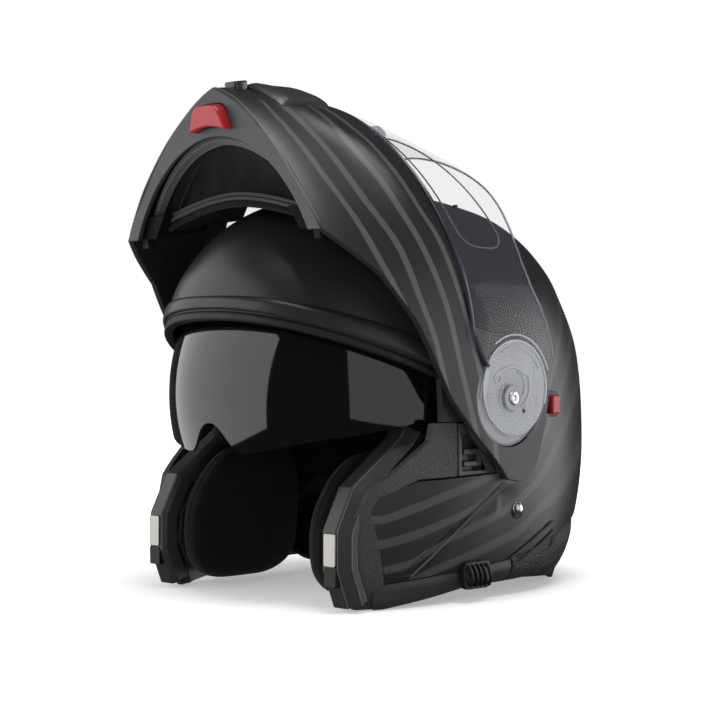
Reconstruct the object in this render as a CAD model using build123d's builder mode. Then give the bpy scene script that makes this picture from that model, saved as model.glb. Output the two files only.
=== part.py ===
"""Modular motorcycle helmet: chin bar raised, clear visor shut on it, sun visor down.

Millimetres, +Z up, the face looks along -Y and the wearer's left is +X.
The origin lies under the middle of the part, on the surface that it stands on.
"""
import os
from math import cos, pi, radians, sin

from build123d import *

# Hard shell
shell_height = 262.0
shell_half_width = 115.0
shell_front = 146.0
shell_rear = 157.0
shell_middle = 13.0
shell_wall = 4.0

# Main pivot of the chin bar and the clear visor
pivot_height = 127.0
pivot_forward = 6.5
opening_angle = 80.5
pivot_shaft_radius = 6.0
hinge_plate_radius = 26.0
hinge_plate_thickness = 4.0
hinge_screw_circle = 19.0
hinge_screw_radius = 2.0
hinge_screw_count = 3
pivot_flange_radius = 9.0
pivot_flange_thickness = 2.0
hinge_lobe_radius = 38.0
hinge_boss_thickness = 3.3
ratchet_radius = 30.0
ratchet_thickness = 2.0
ratchet_hub_radius = 5.0
screw_head_radius = 8.0
screw_head_height = 1.6
screw_shaft_radius = 2.9

# Chin bar and clear visor, measured from the pivot axis
face_reach = 212.0
face_half_width = 121.6
face_flat = 38.0
face_back = 75.0
chin_wall = 4.6
lip_depth = 29.0
lip_width = 20.0
lip_thickness = 4.0
visor_wall = 2.4
visor_flare = 2.8
sill_seal_height = 1.6
chin_foam_front = 27.0
chin_foam_side = 22.0
chin_panel_wall = 2.0
curtain_level = -101.0
curtain_thickness = 3.0
hem_reach = 139.5
hem_end_reach = 118.0
cable_diameter = 3.0
shield_pin_radius = 3.0
shield_pin_length = 4.0
tab_middle = 53.0
tab_width = 14.0
tab_reach = 178.0
tab_depth = 16.0
tab_bottom = -23.0
tab_height = 6.0

# Sun visor
sun_radius = 122.0
sun_half_width = 104.0
sun_wall = 2.0
sun_axis_forward = 21.0
sun_axis_up = 1.0
sun_hub_radius = 12.0
sun_pin_radius = 4.0
sun_clearance = 5.0
sun_swing_radius = 31.0
sun_sector_top = 95.0
sun_sector = 165.0

# Liners and pads
liner_side = 28.0
liner_front = 38.0
liner_rear = 30.0
liner_top = 36.0
comfort_wall = 8.0
cheek_inner_face = 72.0
cheek_pad_width = 24.0
cheek_pad_rounding = 9.0
neck_roll_depth = 16.0

# Cheek fronts and latches
frame_wall = 3.6
frame_inner_face = 74.0
frame_nose_outer = 88.0
striker_width = 11.0
striker_height = 20.0
striker_thickness = 1.6
striker_centre = 83.3
striker_middle = -89.0
plate_inset = 1.0
slot_length = 13.0
slot_height = 7.0
seal_wall = 4.5
trim_proud = 0.6
recess_height = 14.0
recess_depth = 8.0
hook_width = 5.6
hook_centre = 81.2
hook_height = 6.5
hook_middle = -106.2
hook_reach = 2.4
hook_length = 10.0
hook_pocket = 10.0

# Controls
button_front_width = 25.0
button_rear_width = 36.0
button_front_reach = 202.0
button_depth = 17.0
button_height = 15.0
button_bottom = -113.5
button_rounding = 2.0
shutter_width = 11.0
shutter_height = 13.0
shutter_thickness = 3.2
shutter_middle = -86.0
shutter_rounding = 2.0
scoop_half_width = 32.0
scoop_wall = 2.4
lock_width = 9.0
lock_height = 13.0
lock_thickness = 3.0
lock_back = 54.0
lock_drop = 5.5
slider_length = 24.0
slider_height = 18.0
slider_thickness = 6.0
slider_rounding = 4.0
slider_inner_face = 88.0
slider_middle = -17.0
slider_level = -110.0
slider_travel = 14.0
slider_stem = 8.0
slider_gap = 1.4
slider_foot_inset = 5.0
slot_gap = 5.0

# Chin strap
strap_width = 24.0
strap_thickness = 2.4
rivet_radius = 4.6
rivet_height = 2.4
rivet_shank_radius = 2.5
rivet_back = 19.0
rivet_drop = 71.0
rivet_seat = 113.0
washer_radius = 6.0
washer_thickness = 1.2
strap_top = 103.0
strap_back = 16.0
strap_bend = 8.0
buckle_length = 30.0
buckle_width = 28.0
buckle_height = 9.0
buckle_level = -116.5
buckle_end = 30.0
tongue_overlap = 21.0
tongue_width = 19.0
tongue_thickness = 3.0
lever_length = 24.0
lever_width = 16.0
lever_thickness = 3.0

# Fits
fit_gap = 0.4
face_gap = 0.3
press_gap = 0.1
overrun = 8.0

pivot_y = -pivot_forward
sun_centre = (0, pivot_y - sun_axis_forward, pivot_height + sun_axis_up)
rivet_place = (rivet_back, -rivet_drop)
hinge_floor = shell_half_width - hinge_plate_thickness + face_gap
boss_face = hinge_floor + hinge_plate_thickness + 2 * face_gap + press_gap
ratchet_floor = boss_face + hinge_boss_thickness + press_gap
screw_seat = face_half_width + visor_flare + face_gap
span = 2 * shell_half_width + 4 * overrun

# Sections of the shell: height, width, front, rear (shares) and corner power
shell_section_shares = [
    (0.000, 0.860, 0.950, 0.800, 3.0),
    (0.076, 0.925, 0.985, 0.895, 3.0),
    (0.190, 0.970, 1.000, 0.970, 3.0),
    (0.305, 0.995, 1.000, 1.000, 3.0),
    (0.420, 1.000, 1.000, 1.000, 2.8),
    (0.534, 0.995, 1.000, 0.980, 2.6),
    (0.630, 0.970, 0.995, 0.945, 2.4),
    (0.725, 0.905, 0.980, 0.880, 2.3),
    (0.800, 0.815, 0.930, 0.830, 2.2),
    (0.878, 0.670, 0.820, 0.730, 2.1),
    (0.939, 0.485, 0.645, 0.600, 2.0),
    (0.977, 0.285, 0.400, 0.410, 2.0),
    (0.994, 0.140, 0.180, 0.260, 2.0),
]
shell_rear_power = 2.3
shell_crown_share = 0.42
section_points = 20

# Sections of the face: height over the pivot, reach, width (shares) and two powers
face_section_shares = [
    (-0.990, 0.975, 0.940, 1.80, 1.35),
    (-0.827, 1.000, 0.970, 1.80, 1.35),
    (-0.630, 0.990, 0.980, 1.86, 1.42),
    (-0.472, 0.968, 0.990, 1.92, 1.52),
    (-0.205, 0.929, 1.000, 2.00, 1.70),
    (0.110, 0.850, 1.000, 2.00, 1.70),
    (0.394, 0.768, 1.000, 2.00, 1.62),
    (0.598, 0.697, 0.990, 2.00, 1.52),
    (0.760, 0.630, 0.965, 2.00, 1.50),
]
face_points = 8

# Side outlines: distance behind the pivot and height over it, as shares
opening_edge_shares = [
    (-0.579, -1.120),
    (-0.579, -0.874),
    (-0.685, -0.535),
    (-0.651, -0.449),
    (-0.473, -0.390),
    (-0.014, -0.372),
    (-0.151, -0.110),
    (-0.349, -0.110),
    (-0.349, 0.140),
    (-1.040, 0.449),
]
frame_outline_shares = [
    (-0.685, -1.000),
    (-0.780, -0.860),
    (-0.790, -0.610),
    (-0.700, -0.410),
    (-0.420, -0.185),
    (-0.349, -0.110),
    (-0.267, -0.110),
    (-0.267, -0.382),
    (-0.473, -0.390),
    (-0.651, -0.449),
    (-0.685, -0.535),
    (-0.579, -0.874),
    (-0.579, -1.000),
]
nose_outline_shares = [
    (-0.745, -0.985),
    (-0.808, -0.800),
    (-0.808, -0.610),
    (-0.717, -0.410),
    (-0.437, -0.185),
    (-0.400, -0.225),
    (-0.680, -0.450),
    (-0.755, -0.620),
    (-0.755, -0.790),
    (-0.700, -0.940),
]
side_plate_shares = [
    (-0.267, -0.110),
    (-0.151, -0.110),
    (-0.014, -0.372),
    (-0.267, -0.382),
]
arm_outline_shares = [
    (-1.060, -0.819),
    (-0.574, -0.906),
    (-0.519, -0.827),
    (-0.423, -0.681),
    (-0.285, -0.559),
    (-0.132, -0.461),
    (-0.038, -0.398),
    (0.090, -0.250),
    (0.170, -0.142),
]
arm_back_shares = [
    (0.236, -0.070),
    (0.256, 0.024),
    (0.240, 0.100),
    (0.200, 0.170),
    (0.097, 0.264),
    (-0.120, 0.180),
    (-0.236, -0.220),
    (-1.060, -0.205),
]
rim_edge_shares = [
    (-0.579, -0.874),
    (0.137, -0.810),
    (0.790, -0.630),
    (1.250, -0.590),
]
base_edge_shares = [
    (-0.579, -1.000),
    (-0.400, -0.975),
    (-0.137, -0.935),
    (0.270, -0.925),
    (0.620, -0.955),
    (0.800, -1.000),
    (1.250, -1.000),
]
trim_seam_share = 0.10
slot_place_share = (-0.185, -0.315)
brow_seal_shares = [
    (-1.060, 0.455),
    (-0.351, 0.137),
    (-0.351, -0.108),
    (-0.382, -0.108),
    (-0.382, 0.112),
    (-1.060, 0.412),
]
liner_edge_shares = [
    (-1.100, 0.520),
    (-0.340, 0.190),
    (-0.310, -0.110),
    (-0.060, -0.190),
    (-0.030, -0.472),
    (1.300, -0.472),
]
neck_roll_shares = [
    (0.210, -0.953),
    (1.200, -0.953),
    (1.200, -0.677),
    (0.210, -0.677),
]
cheek_foam_shares = [
    (-0.330, -0.680),
    (-0.350, -0.880),
    (-0.670, -0.880),
    (-0.726, -0.750),
    (-0.712, -0.610),
    (-0.600, -0.412),
    (-0.410, -0.250),
    (-0.200, -0.205),
    (-0.060, -0.230),
    (-0.040, -0.680),
]
cheek_pad_shares = [
    (-0.630, -0.950),
    (-0.753, -0.790),
    (-0.740, -0.570),
    (-0.550, -0.290),
    (-0.210, -0.240),
    (-0.100, -0.480),
    (-0.110, -0.870),
    (-0.280, -0.950),
]
sun_outline_shares = [
    (0.000, 0.098),
    (-0.300, 0.250),
    (-0.700, 0.470),
    (-0.900, 0.550),
    (-1.200, 0.600),
    (-1.200, -0.400),
    (-0.550, -0.170),
    (-0.300, -0.120),
    (0.000, -0.098),
]
sun_lower_shares = [
    (-1.100, -0.130),
    (-0.240, -0.290),
    (-0.170, -0.270),
    (-0.070, -0.130),
    (0.070, -0.130),
    (0.170, -0.270),
    (0.240, -0.290),
    (1.100, -0.130),
    (1.100, -1.000),
    (-1.100, -1.000),
]
sun_power = 2.2
lip_edge_shares = [
    (-1.060, -0.819),
    (-0.574, -0.906),
]
visor_outline_shares = [
    (-1.060, -0.188),
    (-0.400, -0.201),
    (-0.270, -0.218),
    (-0.222, -0.226),
    (-0.090, -0.130),
    (0.000, 0.080),
    (-0.045, 0.372),
    (-0.127, 0.450),
    (-0.357, 0.494),
    (-0.472, 0.520),
    (-0.700, 0.582),
    (-1.060, 0.700),
]
ear_radii_shares = (0.127, 0.291)
ear_middle_share = (-0.014, 0.087)
scoop_shares = [
    (-0.978, -0.610),
    (-1.004, -0.580),
    (-0.985, -0.370),
    (-0.968, -0.310),
    (-0.880, -0.310),
    (-0.880, -0.610),
]
scoop_duct_shares = [
    (-0.960, -0.560),
    (-0.990, -0.555),
    (-0.974, -0.370),
    (-0.957, -0.290),
    (-0.880, -0.290),
    (-0.880, -0.560),
]
strap_path_shares = [
    (1.000, -0.490),
    (1.000, -0.680),
    (0.880, -0.830),
    (0.700, -0.897),
    (0.520, -0.917),
]
foam_zone_shares = [
    (-1.060, -0.725),
    (-0.642, -0.725),
    (-0.642, -0.268),
    (-1.060, -0.268),
]
housing_zone_shares = [
    (-0.642, -0.860),
    (-0.575, -0.868),
    (-0.575, -0.500),
    (-0.642, -0.500),
]
panel_zone_shares = [
    (-1.060, -0.775),
    (-0.590, -0.775),
    (-0.590, -0.268),
    (-1.060, -0.268),
]
cable_zone_shares = [
    (-0.930, -0.768),
    (-0.645, -0.768),
    (-0.645, -0.744),
    (-0.930, -0.744),
]
pin_place_share = (-0.575, -0.035)


def level(height):
    """Horizontal plane over the base, centred on the pivot axis."""
    return Plane(origin=(0, pivot_y, height))


def side(distance):
    """Plane facing +X through the pivot; its axes run rearwards and up."""
    return Plane(origin=(distance, pivot_y, pivot_height), x_dir=(0, 1, 0), z_dir=(1, 0, 0))


def raised_side(distance):
    """The same plane, turned with the raised chin bar."""
    turn = radians(opening_angle)
    return Plane(
        origin=(distance, pivot_y, pivot_height), x_dir=(0, cos(turn), -sin(turn)), z_dir=(1, 0, 0)
    )


def raised_level(height):
    """Plane that is horizontal, at a height over the pivot, once the chin bar is shut."""
    turn = radians(opening_angle)
    base = Plane(origin=(0, pivot_y, pivot_height), x_dir=(1, 0, 0), z_dir=(0, sin(turn), cos(turn)))
    return base.offset(height)


def front(reach):
    """Plane facing forwards at a reach ahead of the pivot; its axes run left and up."""
    ahead = Plane(origin=(0, pivot_y, pivot_height), x_dir=(1, 0, 0), z_dir=(0, -1, 0))
    return ahead.offset(reach)


def raised_front(reach):
    """Plane facing forwards, at a reach ahead of the pivot, once the chin bar is shut."""
    turn = radians(opening_angle)
    ahead = Plane(
        origin=(0, pivot_y, pivot_height), x_dir=(1, 0, 0), z_dir=(0, -cos(turn), sin(turn))
    )
    return ahead.offset(reach)


def sun_plane(climb):
    """Plane through the sun visor's axis; its -Y leads forwards, turned up by an angle."""
    turn = radians(climb)
    return Plane(origin=sun_centre, x_dir=(1, 0, 0), z_dir=(0, sin(turn), cos(turn)))


def sun_side(distance):
    """Plane facing +X through the sun visor's axis."""
    return Plane(origin=sun_centre, x_dir=(0, 1, 0), z_dir=(1, 0, 0)).offset(distance)


def by_shares(shares, length=face_reach, height=pivot_height):
    """Outline points from shares of a length and a height."""
    return [(along * length, up * height) for along, up in shares]


def raised_points(points, rise):
    """The same outline points, moved up."""
    return [(along, up + rise) for along, up in points]


def superellipse(half_width, ahead, behind, front_power):
    """Closed shell section: one power rounds its front, another its rear."""
    points = []
    for step in range(section_points):
        turn = 2 * pi * step / section_points
        across, along = sin(turn), cos(turn)
        power = front_power if along > 0 else shell_rear_power
        reach = ahead if along > 0 else behind
        hand = 1 if across >= 0 else -1
        toward = 1 if along > 0 else -1
        x = hand * half_width * abs(across) ** (2 / power)
        y = shell_middle - toward * reach * abs(along) ** (2 / power)
        points.append((x, y))
    return points


def shell_form(side_inset, front_inset, rear_inset, top_inset, base=0.0):
    """Solid form of the shell, drawn in by an inset on each side."""
    crown = shell_crown_share * shell_height
    with BuildPart() as form:
        for up, across, front, rear, power in shell_section_shares:
            height = up * shell_height
            half_width = across * (shell_half_width - side_inset)
            ahead = front * (shell_front - front_inset) + shell_middle
            behind = rear * (shell_rear - rear_inset) - shell_middle
            if height > crown:
                rise = (shell_height - top_inset - crown) / (shell_height - crown)
                height = crown + (height - crown) * rise
            if up == 0:
                height = base
            with BuildSketch(level(height)):
                with BuildLine():
                    Spline(superellipse(half_width, ahead, behind, power), periodic=True)
                make_face()
        sections = list(form.pending_faces)
        form.pending_faces.clear()
        crown_point = Vertex(0, pivot_y + shell_middle, shell_height - top_inset)
        loft(sections + [crown_point])
    return form.part


def face_form(front_inset, side_inset, back=face_back):
    """Solid form inside the chin bar's and visor's outer face, drawn in by two insets."""
    with BuildPart() as form:
        for up, reach, across, front_power, side_power in face_section_shares:
            half_width = across * face_half_width - side_inset
            ahead = reach * face_reach - face_flat - front_inset
            curve = []
            for step in range(-face_points, face_points + 1):
                turn = pi / 2 * step / face_points
                hand = 1 if step >= 0 else -1
                x = hand * half_width * abs(sin(turn)) ** (2 / side_power)
                y = -face_flat - ahead * abs(cos(turn)) ** (2 / front_power)
                curve.append((x, y))
            with BuildSketch(raised_level(up * pivot_height)):
                with BuildLine():
                    front = Spline(curve, tangents=((0, -1), (0, 1)))
                    Polyline(front @ 1, (half_width, back), (-half_width, back), front @ 0)
                make_face()
        loft()
    return form.part


def sun_profile(radius, half_width):
    """Radius of the sun visor about its axis, across its width."""
    curve = []
    for step in range(-face_points, face_points + 1):
        turn = pi / 2 * step / face_points
        hand = 1 if step >= 0 else -1
        x = hand * half_width * abs(sin(turn)) ** (2 / sun_power)
        curve.append((x, -radius * abs(cos(turn)) ** (2 / sun_power)))
    return curve


def save(part, name):
    """Label a finished piece and write it."""
    part.label = name
    export_step(part, f"parts/{name}.step")


def save_pair(part, name):
    """Write a left-hand piece and its mirror image."""
    with BuildPart() as other_hand:
        mirror(part, about=Plane.YZ)
    save(part, f"{name}_left")
    save(other_hand.part, f"{name}_right")


os.makedirs("parts", exist_ok=True)

far_front = -face_reach
far_rear = shell_rear + 3 * overrun
far_down = -pivot_height - overrun

outer_form = shell_form(0, 0, 0, 0)
shell_inner = shell_form(shell_wall, shell_wall, shell_wall, shell_wall, -overrun)
liner_gap = shell_wall + fit_gap
liner_outer = shell_form(liner_gap, liner_gap, liner_gap, liner_gap)
liner_insets = [shell_wall + depth for depth in (liner_side, liner_front, liner_rear, liner_top)]
liner_inner = shell_form(*liner_insets, -overrun)
comfort_outer = shell_form(*[inset + fit_gap for inset in liner_insets])
comfort_inner = shell_form(*[inset + fit_gap + comfort_wall for inset in liner_insets], -overrun)

# Hard shell: open at the face and neck, with a flat seat for each hinge plate
opening_points = by_shares(opening_edge_shares, shell_front, pivot_height)
rim_points = by_shares(rim_edge_shares, shell_front, pivot_height)
with BuildPart() as outer_shell:
    add(outer_form)
    add(shell_inner, mode=Mode.SUBTRACT)
    for hand in (-1, 1):
        with BuildSketch(side(hand * (hinge_floor - shell_wall))):
            Circle(hinge_plate_radius + shell_wall)
        extrude(amount=hand * shell_wall)
    with BuildSketch(side(-span / 2)):
        Polygon(
            *opening_points,
            (far_front, opening_points[-1][1]),
            (far_front, far_down),
            (opening_points[0][0], far_down),
            align=None,
        )
        Polygon(*rim_points, (far_rear, far_down), (far_front, far_down), align=None)
    extrude(amount=span, mode=Mode.SUBTRACT)
    for hand in (-1, 1):
        with BuildSketch(side(hand * hinge_floor)):
            Circle(hinge_plate_radius + fit_gap)
        extrude(amount=hand * 2 * hinge_plate_thickness, mode=Mode.SUBTRACT)
        with BuildSketch(side(hand * (hinge_floor - 2 * shell_wall))):
            Circle(pivot_shaft_radius + press_gap)
            with PolarLocations(hinge_screw_circle, hinge_screw_count):
                Circle(hinge_screw_radius + press_gap)
        extrude(amount=hand * 3 * shell_wall, mode=Mode.SUBTRACT)
        with BuildSketch(side(hand * (shell_half_width - 3 * shell_wall))):
            with Locations(rivet_place):
                Circle(rivet_shank_radius + press_gap)
        extrude(amount=hand * 4 * shell_wall, mode=Mode.SUBTRACT)
save(outer_shell.part, "outer_shell")

# Cheek frames: grained panels with a solid nose that carries the striker plate
nose_front = -nose_outline_shares[1][0] * shell_front
frame_inner = shell_form(frame_wall, frame_wall, frame_wall, frame_wall, -overrun)
with BuildPart() as cheek_frame:
    with BuildSketch(side(0)):
        Polygon(*by_shares(frame_outline_shares, shell_front, pivot_height), align=None)
        offset(amount=-fit_gap / 2, kind=Kind.INTERSECTION)
    extrude(amount=span / 2)
    add(outer_form, mode=Mode.INTERSECT)
    add(frame_inner, mode=Mode.SUBTRACT)
    with BuildSketch(side(frame_inner_face)):
        Polygon(*by_shares(nose_outline_shares, shell_front, pivot_height), align=None)
    extrude(amount=frame_nose_outer - frame_inner_face)
    with BuildSketch(front(nose_front)):
        with Locations((striker_centre, striker_middle)):
            Rectangle(striker_width + fit_gap, striker_height + fit_gap)
    extrude(amount=-striker_thickness, mode=Mode.SUBTRACT)
    with BuildSketch(front(nose_front)):
        with Locations((striker_centre, striker_middle - striker_height / 2 - recess_height / 2)):
            Rectangle(striker_width, recess_height)
    extrude(amount=-recess_depth, mode=Mode.SUBTRACT)
save_pair(cheek_frame.part, "cheek_frame")

# Striker plates: bright steel, let into the noses
with BuildPart() as striker_plate:
    with BuildSketch(front(nose_front - striker_thickness)):
        with Locations((striker_centre, striker_middle)):
            Rectangle(striker_width, striker_height)
    extrude(amount=striker_thickness)
save_pair(striker_plate.part, "striker_plate")

# Side plates: recessed panels with the park slot, under the chin bar's arms
plate_outer = shell_form(plate_inset, plate_inset, plate_inset, 0)
with BuildPart() as side_plate:
    with BuildSketch(side(0)):
        Polygon(*by_shares(side_plate_shares, shell_front, pivot_height), align=None)
        offset(amount=-fit_gap / 2, kind=Kind.INTERSECTION)
    extrude(amount=span / 2)
    add(plate_outer, mode=Mode.INTERSECT)
    add(shell_inner, mode=Mode.SUBTRACT)
    with BuildSketch(side(0)):
        with Locations(by_shares([slot_place_share], shell_front, pivot_height)[0]):
            Rectangle(slot_length, slot_height)
    extrude(amount=span / 2, mode=Mode.SUBTRACT)
save_pair(side_plate.part, "side_plate")

# Lower rim: front trim and rear spoiler below the painted shell
trim_outer = shell_form(-trim_proud, -trim_proud, -trim_proud, 0, -overrun)
base_points = by_shares(base_edge_shares, shell_front, pivot_height)
rim_band = raised_points(rim_points, -fit_gap) + base_points[::-1]
trim_end = trim_seam_share * shell_front
rim_parts = [
    ("lower_trim_left", far_front, trim_end, 0, span / 2),
    ("lower_trim_right", far_front, trim_end, -span / 2, 0),
    ("rear_spoiler", trim_end + fit_gap, far_rear, -span / 2, span / 2),
]
for name, start, end, right, left in rim_parts:
    with BuildPart() as rim:
        with BuildSketch(side(right)):
            Polygon(*rim_band, align=None)
            with Locations(((start + end) / 2, 0)):
                Rectangle(end - start, 3 * pivot_height, mode=Mode.INTERSECT)
        extrude(amount=left - right)
        add(trim_outer, mode=Mode.INTERSECT)
        add(shell_inner, mode=Mode.SUBTRACT)
        if name == "lower_trim_left":
            with BuildSketch(side(0)):
                with Locations((slider_middle + slider_travel / 2, slider_level)):
                    Rectangle(slider_stem + slider_travel + 2 * fit_gap, slot_gap)
            extrude(amount=span / 2, mode=Mode.SUBTRACT)
    save(rim.part, name)

# Brow seal: rubber edging round the top of the face opening
seal_inner = shell_form(seal_wall, seal_wall, seal_wall, seal_wall, -overrun)
with BuildPart() as brow_seal:
    with BuildSketch(side(-span / 2)):
        Polygon(*by_shares(brow_seal_shares, shell_front, pivot_height), align=None)
    extrude(amount=span)
    add(outer_form, mode=Mode.INTERSECT)
    add(seal_inner, mode=Mode.SUBTRACT)
save(brow_seal.part, "brow_seal")

# Hinge plates, their screws and the pivot bolts
with BuildPart() as hinge_plate:
    with BuildSketch(side(hinge_floor)):
        Circle(hinge_plate_radius)
        Circle(pivot_shaft_radius + press_gap, mode=Mode.SUBTRACT)
        with PolarLocations(hinge_screw_circle, hinge_screw_count):
            Circle(hinge_screw_radius + press_gap, mode=Mode.SUBTRACT)
    extrude(amount=hinge_plate_thickness)
save_pair(hinge_plate.part, "hinge_plate")

with BuildPart() as hinge_screws:
    for hand in (-1, 1):
        with BuildSketch(side(hand * (hinge_floor - shell_wall))):
            with PolarLocations(hinge_screw_circle, hinge_screw_count):
                Circle(hinge_screw_radius)
        extrude(amount=hand * (shell_wall + hinge_plate_thickness))
save(hinge_screws.part, "hinge_screws")

bolt_end = ratchet_floor - face_gap
with BuildPart() as pivot_bolt:
    with BuildSketch(side(hinge_floor - shell_wall - pivot_flange_thickness)):
        Circle(pivot_flange_radius)
    extrude(amount=pivot_flange_thickness)
    with BuildSketch(side(hinge_floor - shell_wall)):
        Circle(pivot_shaft_radius)
    extrude(amount=bolt_end - hinge_floor + shell_wall)
save_pair(pivot_bolt.part, "pivot_bolt")

# Sun visor: one barrel-shaped lens with a hub at each end
with BuildPart() as sun_visor:
    with BuildSketch(sun_plane(0)):
        with BuildLine():
            Spline(sun_profile(sun_radius, sun_half_width), tangents=((0, -1), (0, 1)))
            Line((sun_half_width, 0), (sun_half_width - sun_wall, 0))
            Spline(sun_profile(sun_radius - sun_wall, sun_half_width - sun_wall), tangents=((0, -1), (0, 1)))
            Line((-sun_half_width, 0), (sun_wall - sun_half_width, 0))
        make_face()
    revolve(axis=Axis(sun_centre, (1, 0, 0)))
    with BuildSketch(sun_side(-span / 2)):
        Polygon(*by_shares(sun_outline_shares, sun_radius, sun_radius), align=None)
        Circle(sun_hub_radius)
    extrude(amount=span, mode=Mode.INTERSECT)
    with BuildSketch(front(sun_axis_forward)):
        with Locations((0, sun_axis_up)):
            Polygon(*by_shares(sun_lower_shares, sun_half_width, sun_radius), align=None)
    extrude(amount=2 * sun_radius, mode=Mode.SUBTRACT)
    with BuildSketch(sun_side(-span / 2)):
        Circle(sun_pin_radius + face_gap)
    extrude(amount=span, mode=Mode.SUBTRACT)
save(sun_visor.part, "sun_visor")

# Sun visor bases: plates on the hinge seats, each with a pin through the hub
sun_seat = hinge_floor - shell_wall
with BuildPart() as sun_visor_base:
    with BuildSketch(sun_side(sun_half_width + fit_gap)):
        Circle(pivot_flange_radius)
    extrude(amount=sun_seat - sun_half_width - fit_gap)
    with BuildSketch(sun_side(sun_half_width - 2 * sun_wall)):
        Circle(sun_pin_radius)
    extrude(amount=2 * sun_wall + fit_gap)
save_pair(sun_visor_base.part, "sun_visor_base")

# Impact liner: foam under the shell, cut back for the sun visor's pocket and the hinges
with BuildPart() as sun_pocket:
    with BuildSketch(sun_plane(sun_sector_top)):
        with BuildLine():
            pocket = sun_profile(sun_radius - sun_clearance, sun_half_width - sun_clearance)
            edge = Spline(pocket, tangents=((0, -1), (0, 1)))
            corners = [(span / 2, 0), (span / 2, -face_reach), (-span / 2, -face_reach), (-span / 2, 0)]
            Polyline(edge @ 1, *corners, edge @ 0)
        make_face()
    revolve(axis=Axis(sun_centre, (1, 0, 0)), revolution_arc=sun_sector)

liner_points = by_shares(liner_edge_shares, shell_front, pivot_height)
liner_cut = liner_points + [(far_rear, far_down), (far_front, far_down)]
with BuildPart() as impact_liner:
    add(liner_outer)
    add(liner_inner, mode=Mode.SUBTRACT)
    with BuildSketch(side(-span / 2)):
        Polygon(*liner_cut, align=None)
    extrude(amount=span, mode=Mode.SUBTRACT)
    add(sun_pocket.part, mode=Mode.SUBTRACT)
    for hand in (-1, 1):
        with BuildSketch(side(hand * (sun_half_width - sun_clearance))):
            with Locations((-sun_axis_forward, sun_axis_up)):
                Circle(sun_swing_radius)
        extrude(amount=hand * span / 2, mode=Mode.SUBTRACT)
        with BuildSketch(side(hand * (sun_seat - pivot_flange_thickness - fit_gap))):
            Circle(hinge_plate_radius + shell_wall + fit_gap)
        extrude(amount=hand * span / 2, mode=Mode.SUBTRACT)
save(impact_liner.part, "impact_liner")

# Comfort liner: padded cap inside the foam
with BuildPart() as comfort_liner:
    add(comfort_outer)
    add(comfort_inner, mode=Mode.SUBTRACT)
    with BuildSketch(side(-span / 2)):
        Polygon(*liner_cut, align=None)
    extrude(amount=span, mode=Mode.SUBTRACT)
save(comfort_liner.part, "comfort_liner")

# Cheek foams and the pads on them
with BuildPart() as cheek_foam:
    with BuildSketch(side(cheek_inner_face)):
        Polygon(*by_shares(cheek_foam_shares, shell_front, pivot_height), align=None)
    extrude(amount=span / 2)
    add(liner_outer, mode=Mode.INTERSECT)
save_pair(cheek_foam.part, "cheek_foam")

with BuildPart() as cheek_pad:
    with BuildSketch(side(cheek_inner_face - face_gap)):
        Polygon(*by_shares(cheek_pad_shares, shell_front, pivot_height), align=None)
    extrude(amount=-cheek_pad_width)
    upright = cheek_pad.edges().filter_by(Axis.X)
    fillet(upright, radius=cheek_pad_rounding)
    fillet(cheek_pad.faces().sort_by(Axis.X)[0].edges(), radius=cheek_pad_rounding)
save_pair(cheek_pad.part, "cheek_pad")

# Neck roll: padded roll round the back of the neck
roll_inset = liner_gap + neck_roll_depth
roll_inner = shell_form(roll_inset, roll_inset, roll_inset, roll_inset, -overrun)
with BuildPart() as neck_roll:
    with BuildSketch(side(-span / 2)):
        Polygon(*by_shares(neck_roll_shares, shell_rear, pivot_height), align=None)
    extrude(amount=span)
    add(liner_outer, mode=Mode.INTERSECT)
    add(roll_inner, mode=Mode.SUBTRACT)
save(neck_roll.part, "neck_roll")

# Sun visor slider: grip outside the rim, stem through its slot, foot behind it
slider_place = (slider_middle, slider_level)
grip_inset = -trim_proud - slider_gap
grip_inner = shell_form(grip_inset, grip_inset, grip_inset, 0, -overrun)
grip_reach = grip_inset - slider_thickness
grip_outer = shell_form(grip_reach, grip_reach, grip_reach, 0, -overrun)
foot_outer = shell_form(slider_foot_inset, slider_foot_inset, slider_foot_inset, 0, -overrun)
with BuildPart() as sun_visor_slider:
    with BuildSketch(side(0)):
        with Locations(slider_place):
            RectangleRounded(slider_length, slider_height, slider_rounding)
    extrude(amount=span)
    add(grip_inner, mode=Mode.SUBTRACT)
    with BuildSketch(side(0)):
        with Locations(slider_place):
            Rectangle(slider_stem, slot_gap - 2 * fit_gap)
    extrude(amount=span / 2)
    add(grip_outer, mode=Mode.INTERSECT)
    with BuildSketch(side(0)):
        Rectangle(2 * span, 2 * span)
    extrude(amount=slider_inner_face, mode=Mode.SUBTRACT)
with BuildPart() as slider_foot:
    with BuildSketch(side(slider_inner_face)):
        with Locations(slider_place):
            Rectangle(slider_stem, 2 * slot_gap)
    extrude(amount=span / 2)
    add(foot_outer, mode=Mode.INTERSECT)
with BuildPart() as slider_whole:
    add(sun_visor_slider.part)
    add(slider_foot.part)
save(slider_whole.part, "sun_visor_slider")

# Strap rivets: domed heads outside, shanks through the shell, washers on the webbing
with BuildPart() as strap_rivets:
    for hand in (-1, 1):
        with BuildSketch(side(hand * rivet_seat)):
            with Locations(rivet_place):
                Circle(rivet_radius)
        extrude(amount=hand * rivet_height, taper=15)
        with BuildSketch(side(hand * rivet_seat)):
            with Locations(rivet_place):
                Circle(rivet_shank_radius)
        extrude(amount=hand * (strap_top - strap_thickness - rivet_seat))
        with BuildSketch(side(hand * (strap_top - strap_thickness / 2 - press_gap))):
            with Locations(rivet_place):
                Circle(washer_radius)
        extrude(amount=-hand * washer_thickness)
save(strap_rivets.part, "strap_rivets")

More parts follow.
